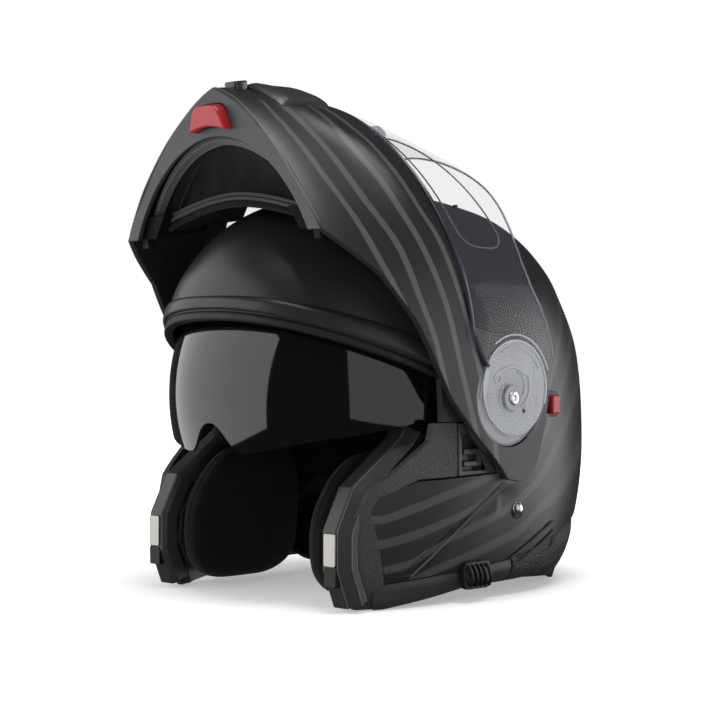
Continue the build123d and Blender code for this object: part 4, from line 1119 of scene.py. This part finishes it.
class HELMET_OT_chin_bar(Part, bpy.types.Operator):
    """Chin bar shell with its arms, pivot lobes and lip"""

    bl_idname = "helmet.chin_bar"
    bl_label = "Chin Bar"

    def build(self, s, c):
        shell = ("chin_bar", "chin_bar_shell", "chin_bar_shell")
        bar = face_solid("chin_bar_face", 0.0, 0.0, s.chin_wall, s.chin_wall, relief=chin_relief)
        arc = circle_edge((0, 0), (0.038, 0.038), np.radians(62), np.radians(149), 24)
        outline = np.concatenate((ARM_EDGE, arc, ARM_TOP_EDGE[1:]))
        cut(bar, prism("arm_outline", outline, *ACROSS, lifted), "INTERSECT")
        for hand in (-1, 1):
            cut(bar, disc("pocket", (0, 0), 0.0306, hand * 0.1193, hand * 0.13, lifted))
        closed = shut(vertices(bar))
        number = line_number(closed[:, 1], closed[:, 2], CHIN_STRIPES)
        pattern(bar, "stripe_place", np.where(facing_in(bar, closed), NO_LINE, number))
        finish(bar, painted("chin_paint", c.paint, c.stripe, 4, 0.135, ("X", 0.019, 0.026, 0.0, 1.0)), *shell)
        inside = plastic("boss_plastic", c.trim)
        for hand, name in HANDS:
            boss = disc("pivot_boss_" + name, (0, 0), 0.038, hand * 0.116, hand * 0.1192, lifted, 96)
            cut(boss, disc("boss_bore", (0, 0), 0.0063, hand * 0.11, hand * 0.13, lifted))
            finish(boss, inside, *shell)
        lip = face_solid("chin_bar_lip", 0.0004, 0.0004, s.lip_depth, s.lip_width, soften=0.55, high=-0.09)
        cut(lip, prism("lip_outline", LIP_EDGE - (0, 0.0007), *ACROSS, lifted), "INTERSECT")
        cut(lip, prism("button_well", button_outline(0.0005), -0.125, -0.09, lifted, axis=2))
        smooth = plastic("lip_plastic", c.lip, rough=0.40, grain=1500.0, depth=0.00003, edge=0.0012)
        finish(lip, smooth, *shell)
        # A thin cord along the lip's outer edge in the lip colour 2.2 times lighter: a painted highlight on the
        # edge between the lip and the face.
        line = mm((-205, -104), (-182, -109), (-152, -113), (-122, -114.4))
        crease = cord("lip_crease_highlight", line, 0.0006, 0.0, 0.0)
        finish(crease, plastic("lip_painted_highlight", shaded(c.lip, 2.2), rough=0.22), *shell)


def cord(name, side_line, radius, inset_front, inset_side):
    """A thin cord on the face's form along a side line, from one end over the front to the other."""
    heights = np.linspace(-0.125, 0.095, 180)
    shape = face_rings(heights, 300, inset_front, inset_side, sizes().face_back)
    side_line = side_line[np.argsort(side_line[:, 0])]
    path = []
    for k in np.flatnonzero(shape[90, :, 1] < side_line[:, 0].max()):
        gap = heights - np.interp(shape[:, k, 1], side_line[:, 0], side_line[:, 1])
        row = max(int(np.argmax(gap > 0)), 1)
        share = -gap[row - 1] / (gap[row] - gap[row - 1])
        path.append(shape[row - 1, k] * (1 - share) + shape[row, k] * share)
    return tube(name, np.array(path), radius, lifted, sides=8)


def button_outline(grow=0.0):
    """The release button from below: narrow rounded front, wide back with a hollow edge."""
    half_front, half_rear = 0.0102 + grow, 0.0172 + grow
    front, rear = -0.2020 - grow, -0.1860
    corners = [(-half_rear, rear), (-half_front, front), (half_front, front), (half_rear, rear)]
    rounded = rounded_outline(corners, 0.0055, 8)[8:24]
    x = np.linspace(half_rear, -half_rear, 15)
    hollow = np.stack((x, -0.1858 + grow - 0.0030 * (1 - (x / half_rear) ** 2)), -1)
    return np.concatenate((rounded, hollow))


class HELMET_OT_chin_details(Part, bpy.types.Operator):
    """Release button, scoop, shutter, chin curtain and inner trim"""

    bl_idname = "helmet.chin_details"
    bl_label = "Chin Details"

    def build(self, s, c):
        button = prism("red_button", button_outline(), -0.1152, -0.0995, lifted, axis=2)
        eased(button, 0.0022, 4)
        red = plastic("button_red", c.red, rough=0.30, edge=0.0008, coat=0.3)
        finish(button, red, "release_button", "release_button", "release_button", sharp=50)
        smooth = plastic("scoop_plastic", shaded(c.lip, 0.9), rough=0.34, edge=0.0008)
        finish(scoop_solid(), smooth, "chin_bar", "vent_scoop", "vent_scoop")
        outline = rounded_outline(mm((-5.4, -91.4), (5.4, -91.4), (5.0, -80.2), (-5.0, -80.2)), 0.0018)
        shutter = prism("glossy_shutter", outline, -0.2150, -0.2060, lifted, axis=1)
        eased(shutter, 0.0010)
        gloss = plastic("shutter_gloss", c.rubber, rough=0.15, coat=0.6)
        finish(shutter, gloss, "vent_shutter", "vent_shutter", "vent_shutter")
        # The line behind the lip that the curtain and the stitched band are sewn to
        arch = face_rings(np.array([-0.1045]), 241, s.lip_depth, s.lip_width, s.face_back, 0.55)[0]
        arch = arch[(np.abs(arch[:, 0]) < arch[:, 0].max() - 0.0002) & (arch[:, 1] < -0.1222)]
        self.curtain(c, arch)
        self.band(c, arch)
        dress(cloth("panel_cloth", c.curtain), "chin_panel")

    def curtain(self, c, arch):
        """The curtain: a sheet from the arch to a curved, rolled hem, raised between them, and its seams."""
        part = ("chin_bar", "chin_curtain", "chin_curtain")
        knit = cloth("curtain_knit", c.curtain, scale=1500.0, depth=0.0002)
        across = np.linspace(-1, 1, 121)
        front = places_along(arch, (across + 1) / 2 * run_along(arch)[-1])
        hem_y = -0.1395 + 0.0165 * np.abs(across) ** 1.7
        hem = np.stack((across * (front[-1, 0] - 0.0015), hem_y, np.full_like(across, -0.1000)), -1)
        share = np.linspace(0, 1, 30)[:, None]
        sheet = front * (1 - share[..., None]) + hem * share[..., None]
        sheet[..., 2] += 0.0085 * np.sin(np.pi * share) * (1 - across**2) ** 0.5
        sheet[..., 2] += 0.0003 * np.sin(across * 23 + share * 5) * np.sin(np.pi * share)
        curtain = walled_grid("curtain_cloth", lifted(sheet), lifted(sheet + (0, 0, 0.0016)))
        finish(curtain, knit, *part)
        edge = tube("curtain_hem", hem + (0, 0.0006, 0.0006), 0.0015, lifted)
        sewn = [finish(edge, knit, *part)]
        seam_cloth = stitched("curtain_stitch", c.curtain, shaded(c.stripe, 0.35), 0.0026)
        for number, inset in enumerate((0.0036, 0.0062)):
            line = hem + (0, -inset, 0.0)
            line[:, 2] += 0.0006 * (1 - across**2) + 0.0006 * number - 0.0011
            seam = ribbon("curtain_seam_%d" % number, line, (0, 0.0022, 0.0004))
            sewn.append(finish(seam, seam_cloth, *part))

    def band(self, c, arch):
        """The stitched band along the arch, laid in towards the middle."""
        toward = ((0, -0.120, 0) - arch) * (1, 1, 0)
        toward /= np.linalg.norm(toward, axis=1, keepdims=True)
        inner = arch + toward * 0.0065 + (0, 0, 0.0015)
        t = np.linspace(0, 1, 7)[:, None, None]
        grid = arch * (1 - t) + inner * t - (0, 0, 0.0012) * np.sin(np.pi * t)
        trim = walled_grid("panel_trim", lifted(grid), lifted(grid + (0, 0, 0.0014)))
        lay_uv(trim, lifted(grid))
        edge_cloth = stitched("trim_stitch", shaded(c.lip, 0.5), shaded(c.stripe, 0.8), 0.0030)
        finish(trim, edge_cloth, "chin_bar", "chin_panel")


def ribbon(name, line, width):
    """A narrow strip of cloth along a line."""
    grid = line + np.array(width) * np.linspace(-0.5, 0.5, 4)[:, None, None]
    strip = walled_grid(name, lifted(grid), lifted(grid + (0, 0, 0.0004)))
    lay_uv(strip, lifted(grid))
    return strip


def lay_uv(piece, grid):
    """First UV along the grid's rows in metres, second from 0 to 1 across them."""
    rows, columns = grid.shape[:2]
    run = run_along(grid[rows // 2])
    flat = grid.reshape(-1, 3)
    near = np.array([np.argmin(((flat - point) ** 2).sum(1)) for point in vertices(piece)])
    uv = np.stack((run[near % columns], (near // columns) / (rows - 1)), -1)
    layer = piece.data.uv_layers.new(name="seam")
    corner = np.empty(len(piece.data.loops), np.int32)
    piece.data.loops.foreach_get("vertex_index", corner)
    layer.data.foreach_set("uv", uv[corner].astype(np.float32).ravel())


def scoop_solid():
    """A low blister on the chin: the face's form, raised between two heights and two sides."""
    heights = np.linspace(-78.5, -38.4, 40) * MM
    across = np.linspace(-1, 1, 61)
    rings = face_rings(heights, 1201, 0.0, 0.0, 0.05)
    fronts = [ring[ring[:, 1] < -0.15] for ring in rings]
    x = across * 0.0318
    grid = np.array([np.stack([np.interp(x, front[:, 0], axis) for axis in front.T], -1) for front in fronts])
    rise = np.interp(heights, mm(-78.5, -75, -70, -47, -41, -38.4), mm(1.4, 3.6, 5.0, 6.2, 5.0, 3.6))
    edge = np.clip(1 - np.abs(across) ** 14, 0, 1) ** 0.5
    out = grid.copy()
    out[..., 1] -= rise[:, None] * edge + 0.0001
    return walled_grid("chin_scoop", lifted(out), lifted(grid + (0, 0.0008, 0)))


SHIELD = ("face_shield", "face_shield")
VISOR_SILL = mm(
    (-150, -24.3), (-120, -24.9), (-84.8, -25.2), (-57.2, -27.2), (-47.1, -28.2), (-33, -23), (-19.1, -16.0)
)
EAR_CENTRE = (-0.0050, 0.0062)
# Lines on the ear in millimetres: centre, radius, first and last angle, thickness
EAR_LINES = (
    ((-5.0, 6.2), 30.0, 60, 300, 0.7),
    ((-5.0, 6.2), 33.6, 100, 205, 0.6),
    ((-5.0, 6.2), 26.0, 110, 200, 0.5),
    ((-6.0, 6.5), 9.0, -20, 160, 0.6),
    ((-6.0, 6.5), 13.5, 10, 110, 0.5),
    ((1.0, 1.0), 20.0, 130, 215, 0.7),
    ((-14.0, -9.0), 3.0, 0, 360, 0.6),
    ((0.0, 0.0), 9.0, -150, 60, 0.4),
)


def ear_hole(hand):
    """The cutter of the pivot's hole through the visor's ear."""
    return disc("ear_hole", (0, 0), 0.0054, hand * 0.11, hand * 0.14, lifted)


def arc_cord(name, centre, radius, start, end, distance, thick, count=24):
    """A cord on the side of the raised chin bar, along an arc between two angles in degrees."""
    arc = circle_edge(centre, (radius, radius), np.radians(start), np.radians(end), count)
    return tube(name, beside(distance, arc), thick, lifted, sides=8)


class HELMET_OT_clear_visor(Part, bpy.types.Operator):
    """Clear visor with its ears, edge, lift tab and inner insert"""

    bl_idname = "helmet.clear_visor"
    bl_label = "Clear Visor"

    def build(self, s, c):
        visor = face_solid("clear_visor", 0.0003, -0.0028, 0.0027, -0.0004, rows=110, steps=220)
        ear = circle_edge(EAR_CENTRE, (0.0315, 0.0315), np.radians(-78), np.radians(92), 50)
        outline = np.concatenate((VISOR_EDGE[:-1], ear, VISOR_TOP_EDGE[1:]))
        cut(visor, prism("visor_outline", outline, *ACROSS, lifted), "INTERSECT")
        for hand in (-1, 1):
            cut(visor, ear_hole(hand))
        finish(visor, clear_lens("clear_polycarbonate", c.clear), *SHIELD, "face_shield")
        edge = plastic("visor_edge", (0.030, 0.026, 0.040), rough=0.12, grain=200.0, coat=0.5)
        finish(cord("visor_sill", VISOR_SILL, 0.0012, 0.0015, -0.0016), edge, *SHIELD)
        rim = plastic("visor_rim", (0.14, 0.145, 0.16), rough=0.15, coat=0.4)
        top = cord("visor_top", VISOR_TOP_EDGE[1:] - (0, 0.0006), 0.0006, 0.0015, -0.0016)
        finish(top, rim, *SHIELD)
        self.insert(s)
        self.ears()
        black = plastic("pin_black", shaded(c.rubber, 0.4), rough=0.3)
        for hand, name in HANDS:
            ends = apart(hand, 0.0967, 0.0995)
            pin = disc("insert_pin_" + name, (-0.0245, 0.1195), 0.0011, *ends, at_pivot, 24)
            finish(pin, black, "face_shield", "shield_pins", "shield_pins")
        self.tab(c)

    def insert(self, s):
        """The anti-fog insert's bead: a rounded loop on the visor's inner side."""
        corners = [(-0.150, -0.014), (0.150, -0.014), (0.142, 0.026), (-0.142, 0.026)]
        along, height = closed_line(rounded_outline(corners, 0.016, 10), 300).T
        rings = face_rings(height, 600, 0.0036, 0.0008, s.face_back)
        path = [places_along(ring, run_along(ring)[-1] / 2 + ahead) for ring, ahead in zip(rings, along)]
        bead = tube("insert_bead", path, 0.0005, lifted, sides=8, closed=True)
        finish(bead, plastic("bead_clear", (0.10, 0.10, 0.11), rough=0.25), *SHIELD)

    def ears(self):
        """Milky linings of the visor's ears, round the pivot, each with a double rim."""
        milky = plastic("ear_lining", (0.29, 0.30, 0.32), 0.30, grain=90.0, depth=0.0006, edge=0.0005, coat=0.2)
        rim = plastic("ear_rim", (0.36, 0.37, 0.39), rough=0.2)
        dark = plastic("ear_slot", (0.004, 0.004, 0.004), rough=0.5)
        for hand, name in HANDS:
            lining = disc("ear_lining_" + name, EAR_CENTRE, 0.0298, *apart(hand, 0.1214, 0.1219), lifted, 96)
            finish(cut(lining, ear_hole(hand)), milky, *SHIELD)
            for number, (centre, radius, start, end, thick) in enumerate(EAR_LINES):
                place = (mm(*centre), radius * MM, start, end, hand * 0.1222)
                line = arc_cord("ear_line_%d_%s" % (number, name), *place, thick * MM, count=60)
                finish(line, rim, *SHIELD)
            slot = disc("ear_slot_" + name, (0.0105, 0.0120), 0.0014, *apart(hand, 0.1216, 0.1222), lifted, 24)
            finish(slot, dark, *SHIELD)

    def tab(self, c):
        """The lift tab at the visor's lower left edge."""
        outline = rounded_outline(mm((-172.5, -17.5), (-178.5, -25.5), (-171, -28.5), (-158, -24.0)), 0.003)
        tab = prism("lift_tab", outline, 0.046, 0.0595, lifted)
        eased(tab, 0.0008)
        finish(tab, clear_lens("tab_clear", shaded(c.clear, 0.8), alpha=0.45), *SHIELD)


# Profiles of round pieces: radius and distance across the helmet, from the bore outwards and back
RATCHET_PROFILE = [
    (0.0050, 0.1195), (0.0296, 0.1195), (0.0300, 0.1203), (0.0290, 0.1210), (0.0282, 0.1204),
    (0.0240, 0.1204), (0.0232, 0.1212), (0.0205, 0.1212), (0.0198, 0.1205), (0.0150, 0.1205),
    (0.0143, 0.1213), (0.0115, 0.1213), (0.0108, 0.1206), (0.0068, 0.1206), (0.0060, 0.1216),
    (0.0050, 0.1216),
]
SCREW_SEAT_PROFILE = [
    (0.0028, 0.1194), (0.0029, 0.1240), (0.0079, 0.1241), (0.0080, 0.1250), (0.0074, 0.1254),
    (0.0052, 0.1252), (0.00005, 0.1252),
]
SCREW_PROFILE = [
    (0.0042, 0.1251), (0.0044, 0.1258), (0.0036, 0.1262), (0.0018, 0.1261), (0.0012, 0.1256),
    (0.00005, 0.1256),
]
# Ribs on the ratchet: radius, first and last angle
RATCHET_ARCS = ((0.0262, 20, 120), (0.0176, -60, 70), (0.0176, 150, 220), (0.0262, 190, 260))


class HELMET_OT_pivots(Part, bpy.types.Operator):
    """Visor ratchets, screws and the park lock"""

    bl_idname = "helmet.pivots"
    bl_label = "Pivots"

    def build(self, s, c):
        milky = plastic("ratchet_milky", (0.22, 0.225, 0.24), 0.34, grain=140.0, depth=0.0003, edge=0.0004)
        bright = plastic("screw_metal", (0.72, 0.72, 0.73), rough=0.22, metallic=1.0)
        dark = plastic("ratchet_slot", shaded(c.rubber, 0.6), rough=0.5)
        for hand, name in HANDS:
            ratchet = ("chin_bar", "visor_ratchet", "visor_ratchet_" + name)
            screw = ("chin_bar", "visor_screw", "visor_screw_" + name)
            profile = RATCHET_PROFILE + RATCHET_PROFILE[:1]
            finish(turned("ratchet_disc_" + name, profile, (0, 0), hand, lifted, 96), milky, *ratchet)
            for number, arc in enumerate(RATCHET_ARCS):
                rib = arc_cord("ratchet_arc_%d_%s" % (number, name), (0, 0), *arc, hand * 0.1210, 0.0008)
                finish(rib, milky, *ratchet)
            pit = disc("ratchet_pit_" + name, (-0.012, 0.016), 0.0016, *apart(hand, 0.1203, 0.1216), lifted, 24)
            finish(pit, dark, *ratchet)
            finish(turned("visor_screw_seat_" + name, SCREW_SEAT_PROFILE, (0, 0), hand, lifted), milky, *screw)
            finish(turned("visor_screw_head_" + name, SCREW_PROFILE, (0, 0), hand, lifted), bright, *screw)
        red = plastic("lock_red", c.red, rough=0.3, coat=0.3)
        outline = rounded_outline(mm((50.2, -11.6), (58.2, -11.6), (58.4, 0.6), (50.0, 0.6)), 0.0018)
        lock = prism("park_lock_tab", outline, 0.1122, 0.1161, at_pivot)
        eased(lock, 0.0010)
        finish(lock, red, "park_lock", "park_lock", "park_lock")
        outline = rounded_outline(mm((44.5, -13.4), (59.6, -13.4), (59.6, 2.6), (44.5, 4.6)), 0.0025)
        well = prism("park_lock_well", outline, 0.1096, 0.1128, at_pivot)
        eased(well, 0.0006)
        finish(well, plastic("lock_well", c.rubber, rough=0.3), "shell", "outer_shell")


# Sun visor


class HELMET_OT_sun_visor(Part, bpy.types.Operator):
    """Dark drop-down sun visor with its nose notch"""

    bl_idname = "helmet.sun_visor"
    bl_label = "Sun Visor"

    def build(self, s, c):
        walls = [sun_grid(s.sun_radius - inset, s.sun_half_width - inset) for inset in (0, s.sun_wall)]
        lens = walled_grid("dark_visor", *walls)
        finish(lens, dark_lens("smoked_polycarbonate", c.lens), "sun_visor", "sun_visor", "sun_visor")


def sun_grid(radius, half_width):
    """The barrel about the sun visor's axis, between a top line and a notched lower line."""
    turn = np.linspace(-np.pi / 2, np.pi / 2, 221)[1:-1]
    x = half_width * np.sign(turn) * np.abs(np.sin(turn)) ** (2 / 2.2)
    r = radius * np.cos(turn) ** (2 / 2.2)
    share = r / 0.122
    top = np.radians(np.interp(share, (0.098, 0.39, 0.84, 1.055), (88, 39.8, 33.9, 31.4)))
    low = np.radians(np.interp(share, (0.098, 0.323, 0.576, 1.26), (-88, -21.8, -17.2, -18.4)))
    notch = np.interp(np.abs(x) / 0.104, (0, 0.07, 0.17, 0.24, 1.1), (-0.130, -0.130, -0.270, -0.290, -0.130))
    for _ in range(3):
        notch = np.convolve(np.pad(notch, 2, "edge"), np.full(5, 0.2), "valid")
    front = np.arcsin(np.clip(notch * 0.122 / r, -0.99, 0))
    low = np.maximum(low, np.where(r > 0.035, front, low))
    angle = low + (top - low) * np.linspace(0, 1, 72)[:, None]
    y = -0.021 - r * np.cos(angle)
    z = 0.001 + r * np.sin(angle)
    return at_pivot(np.stack((x + 0 * y, y, z), -1))


# Soft pieces


PAD_EDGE = mm(
    (-92.0, -120.7), (-106.0, -110.0), (-109.9, -95.0), (-108.6, -72.4), (-98.0, -54.0), (-80.3, -36.8),
    (-55.0, -32.0), (-30.7, -30.5), (-19.0, -44.0), (-14.8, -61.0), (-16.0, -90.0), (-20.0, -110.5),
    (-40.9, -120.7), (-66.0, -120.9),
)
# The distance of a cheek pad's middle from the helmet's middle
PAD_MIDDLE = 0.0597


def smooth_loop(points):
    """A closed outline made smooth and even: corners cut again and again, then spaced evenly."""
    for _ in range(3):
        after = np.roll(points, -1, 0)
        points = np.stack((points * 0.75 + after * 0.25, points * 0.25 + after * 0.75), 1).reshape(-1, 2)
    return closed_line(points, 96)


class HELMET_OT_pads(Part, bpy.types.Operator):
    """Cheek pads, neck roll, comfort liner, foams and straps"""

    bl_idname = "helmet.pads"
    bl_label = "Pads and Liner"

    def build(self, s, c):
        jersey = cloth("pad_jersey", c.cloth, scale=1300.0, depth=0.00025)
        seams = [mm((-115, -58), (-90, -64), (-60, -62), (-20, -56))]
        for hand, name in HANDS:
            outline = smooth_loop(PAD_EDGE)
            pad = puffed("cheek_cushion_" + name, outline, hand * PAD_MIDDLE, 0.0119, at_pivot, seams)
            finish(pad, jersey, "shell", "cheek_pad", "cheek_pad_" + name, sharp=80)
            outline = smooth_loop(PAD_EDGE * 0.985 + (-0.0009, -0.0009))
            path = beside(hand * PAD_MIDDLE, outline)
            piping = tube("cheek_piping_" + name, path, 0.0010, at_pivot, sides=8, closed=True)
            finish(piping, jersey, "shell", "cheek_pad", "cheek_pad_" + name)
        self.neck(jersey)
        self.liner(jersey)
        self.foams(c)
        self.straps(c)

    def neck(self, jersey):
        """The neck roll: an oval section carried round the back of the head."""
        turns = np.linspace(1.42, 2 * np.pi - 1.42, 160)
        ring = shell_rings(np.array([1.3]), turns, 0.0135)[0]
        ring = ring[ring[:, 1] > 0.034]
        ring[:, 2] = -0.1035
        run = np.gradient(ring, axis=0)
        run /= np.linalg.norm(run, axis=1, keepdims=True)
        out = np.stack((run[:, 1], -run[:, 0], 0 * run[:, 0]), -1)
        turn = np.linspace(0, 2 * np.pi, 40, endpoint=False)[None, :, None]
        cosine, sine = np.cos(turn), np.sin(turn)
        swell = (1 - 0.06 * np.cos(np.linspace(0, 14 * np.pi, len(ring))) ** 8)[:, None, None]
        across = np.sign(cosine) * np.abs(cosine) ** 0.8 * 0.0072 * swell
        up = np.sign(sine) * np.abs(sine) ** 0.8 * 0.0165 * swell
        rings = ring[:, None] + out[:, None] * across + np.array((0, 0, 1)) * up
        roll = tidy(capped_grid("neck_cushion", at_pivot(rings)))
        finish(roll, jersey, "shell", "neck_roll", "neck_roll", sharp=80)

    def liner(self, jersey):
        """The comfort liner: the head's form in quilted panels, cut along the liner's lower edge."""
        outer = dict(inset=0.0385, rear=0.0305, side=0.0285, top=0.0365)
        inner = dict(inset=0.0455, rear=0.0375, side=0.0355, top=0.0435)
        turns = np.linspace(0, 2 * np.pi, 240, endpoint=False)
        places = np.linspace(2, 14, 90)
        out = shell_rings(places, turns, **outer)
        inn = shell_rings(places, turns, **inner)
        quilt = np.abs(np.sin(turns * 3))[:, None] ** 0.35 * np.abs(np.sin(places * 1.1))[:, None, None] ** 0.3
        inn = out + (inn - out) * (0.72 + 0.28 * quilt)
        liner = walled_grid("comfort_cloth", at_pivot(out), at_pivot(inn), loop_u=True)
        edge = mm(
            (-160.6, 66.0), (-49.6, 24.1), (-45.3, -14.0), (-8.8, -24.1), (-4.4, -59.9), (190, -59.9),
            (190, -200), (-240, -200), (-240, 66),
        )
        cut(liner, prism("liner_edge", edge, *ACROSS, at_pivot))
        finish(liner, jersey, "shell", "comfort_liner", "comfort_liner", sharp=60)

    def foams(self, c):
        """Beaded foam: material only, on the plain foam nodes."""
        n = Nodes("bead_foam")
        cells = n.add("ShaderNodeTexVoronoi")
        cells.inputs["Scale"].default_value = 320.0
        n.join(n.place, cells.inputs["Vector"])
        dark = shaded(c.rubber, 1.1)
        n.colour(n.mix(cells.outputs["Distance"], dark, shaded(dark, 1.8)))
        n.rough(n.spread(n.noise(60.0), 0.8, 0.95))
        n.normal(n.bump(cells.outputs["Distance"], 0.0004))
        dress(n.material, "impact_liner", "cheek_foam", "chin_foam")

    def straps(self, c):
        """Webbing from each rivet down and in to the buckle: a flat section along a bent path."""
        web = cloth("strap_webbing", c.cloth, scale=2600.0, depth=0.0003, sheen=0.1)
        points = mm(
            (103.0, -64.0), (103.0, -84.0), (98.5, -96.0), (90.6, -105.4), (80.0, -111.5), (66.0, -115.4),
            (50.0, -116.3), (31.0, -116.4),
        )
        count = 60
        line = smooth_line(points, count)
        run = np.gradient(line, axis=0)
        run /= np.linalg.norm(run, axis=1, keepdims=True)
        across = np.stack((run[:, 1], -run[:, 0]), -1)
        width = np.linspace(0.0042, 0.0278, 14)
        for hand, name in HANDS:
            grids = []
            for half in (-0.0011, 0.0011):
                place = line + across * half
                grid = np.empty((count, len(width), 3))
                grid[:, :, 0] = hand * place[:, 0:1]
                grid[:, :, 1] = width[None, :]
                grid[:, :, 2] = place[:, 1:2] + 0.0002 * np.sin(np.arange(count) * 0.6)[:, None]
                grids.append(at_pivot(grid))
            strap = walled_grid("webbing_" + name, *grids)
            finish(strap, web, "shell", "chin_strap", "chin_strap_" + name, sharp=60)


class HELMET_OT_hardware(Part, bpy.types.Operator):
    """Finishes for the plain CAD pieces that stay in sight"""

    bl_idname = "helmet.hardware"
    bl_label = "Hardware Finishes"

    def build(self, s, c):
        # Hinge steel and the latch hook are given a near-black matt colour, and the housings, cable, visor base
        # and buckle a black darker than the rubber: painted shade where they sit out of the light, over the
        # housings' own black.
        steel = plastic("steel_painted_shade", (0.003, 0.003, 0.003), rough=0.8)
        dress(steel, "hinge_screws", "hinge_plate", "pivot_bolt", "latch_hook")
        housing = plastic("housing_painted_shade", shaded(c.rubber, 0.25), rough=0.9)
        dress(housing, "latch_housing", "latch_cable", "sun_visor_base", "buckle_tongue", "buckle_housing")
        dress(plastic("lever_red", c.red, rough=0.4), "buckle_lever")
        dress(plastic("sill_rubber", c.rubber, rough=0.6), "visor_seal")


# Area lights: place, width, height, power, and whether glossy surfaces show them
LAMPS = {
    "key_left": ((-1.25, -1.30, 0.45), 3.9, 2.4, 42.0, True),
    "side_wide": ((1.9, 0.12, 0.40), 2.2, 1.5, 7.0, True),
    "rear_right": ((0.95, 1.70, 0.20), 1.1, 1.3, 11.0, True),
    "top": ((0.45, -0.1, 1.9), 1.2, 1.2, 26.0, True),
    "fill_front": ((0.95, -1.9, 0.7), 0.8, 0.8, 11.0, False),
}


class HELMET_OT_stage(Part, bpy.types.Operator):
    """Floor, lights, world and camera"""

    bl_idname = "helmet.stage"
    bl_label = "Stage"

    def build(self, s, c):
        scene = bpy.context.scene
        self.floor(scene)
        self.world(scene)
        self.lamps(scene)
        data = bpy.data.cameras.new("camera")
        data.lens, data.sensor_width, data.shift_y = 90, 36, -13 / 720
        camera = bpy.data.objects.new("camera", data)
        camera.location = (0.8506, -0.8674, 0.1588)
        camera.rotation_euler = (np.pi / 2, 0, np.radians(45))
        scene.collection.objects.link(camera)
        scene.camera = camera
        scene.view_settings.view_transform = "Standard"

    def floor(self, scene):
        """A white floor that glows more the further it is from the helmet: the weaker glow round the helmet is
        painted shade about its base, the stronger glow further out is painted light that keeps the far floor
        white.
        """
        mesh = bpy.data.meshes.new("floor")
        corners = [(-6, -6, -0.0002), (6, -6, -0.0002), (6, 6, -0.0002), (-6, 6, -0.0002)]
        mesh.from_pydata(corners, [], [(0, 1, 2, 3)])
        floor = bpy.data.objects.new("floor", mesh)
        scene.collection.objects.link(floor)
        n = Nodes("floor_white")
        n.set(Base_Color=(0.85, 0.85, 0.85, 1), Emission_Color=(1, 1, 1, 1))
        n.set(Roughness=0.9, Specular_IOR_Level=0.0)
        length = n.add("ShaderNodeVectorMath", operation="LENGTH")
        n.join(n.place, length.inputs[0])
        # Emission grows from 0.36 near the helmet to 1.2 further out: painted shade round the helmet, painted
        # light beyond.
        n.join(n.ramp(length.outputs["Value"], 0.10, 0.40, 0.36, 1.2), n.shader.inputs["Emission Strength"])
        mesh.materials.append(n.material)
        floor.visible_glossy = False

    def world(self, scene):
        """White behind the helmet and through its visors, dim as a light and in reflections."""
        world = bpy.data.worlds.new("studio")
        world.use_nodes = True
        tree = world.node_tree
        background = tree.nodes["Background"]
        background.inputs["Color"].default_value = (1, 1, 1, 1)
        path = tree.nodes.new("ShaderNodeLightPath").outputs
        seen = math_node(tree, "MAXIMUM", path["Is Camera Ray"], path["Is Transmission Ray"])
        gloss = math_node(tree, "MULTIPLY_ADD", path["Is Glossy Ray"], -0.03, 0.07)
        tree.links.new(math_node(tree, "MAXIMUM", seen, gloss), background.inputs["Strength"])
        scene.world = world

    def lamps(self, scene):
        """Area lights, all turned to the helmet's middle."""
        for name, (place, wide, tall, power, glossy) in LAMPS.items():
            data = bpy.data.lights.new(name, "AREA")
            data.shape, data.size, data.size_y, data.energy = "RECTANGLE", wide, tall, power
            lamp = bpy.data.objects.new(name, data)
            lamp.location = place
            lamp.rotation_euler = (Vector((0, 0, 0.17)) - Vector(place)).to_track_quat("-Z", "Y").to_euler()
            lamp.visible_glossy = glossy
            scene.collection.objects.link(lamp)


class HELMET_PT_panel(bpy.types.Panel):
    """The helmet's pieces in build order"""

    bl_idname = "HELMET_PT_panel"
    bl_label = "Modular Helmet"
    bl_space_type = "VIEW_3D"
    bl_region_type = "UI"
    bl_category = "Helmet"

    def draw(self, context):
        for operator in PIECES:
            self.layout.operator(operator.bl_idname)
        for group in (context.scene.helmet_sizes, context.scene.helmet_colours):
            for name in group.__annotations__:
                self.layout.prop(group, name)


PIECES = (
    HELMET_OT_outer_shell,
    HELMET_OT_cheek_frames,
    HELMET_OT_lower_rim,
    HELMET_OT_chin_bar,
    HELMET_OT_chin_details,
    HELMET_OT_clear_visor,
    HELMET_OT_pivots,
    HELMET_OT_sun_visor,
    HELMET_OT_pads,
    HELMET_OT_hardware,
    HELMET_OT_stage,
)
CLASSES = (HelmetSizes, HelmetColours, *PIECES, HELMET_PT_panel)


def register():
    """Registers the classes and the scene's settings."""
    for cls in CLASSES:
        bpy.utils.register_class(cls)
    bpy.types.Scene.helmet_sizes = bpy.props.PointerProperty(type=HelmetSizes)
    bpy.types.Scene.helmet_colours = bpy.props.PointerProperty(type=HelmetColours)


def unregister():
    """Removes what register added."""
    del bpy.types.Scene.helmet_sizes
    del bpy.types.Scene.helmet_colours
    for cls in reversed(CLASSES):
        bpy.utils.unregister_class(cls)


def main():
    """Builds every piece in order."""
    register()
    for operator in PIECES:
        group, name = operator.bl_idname.split(".")
        getattr(getattr(bpy.ops, group), name)()


if __name__ == "__main__":
    main()
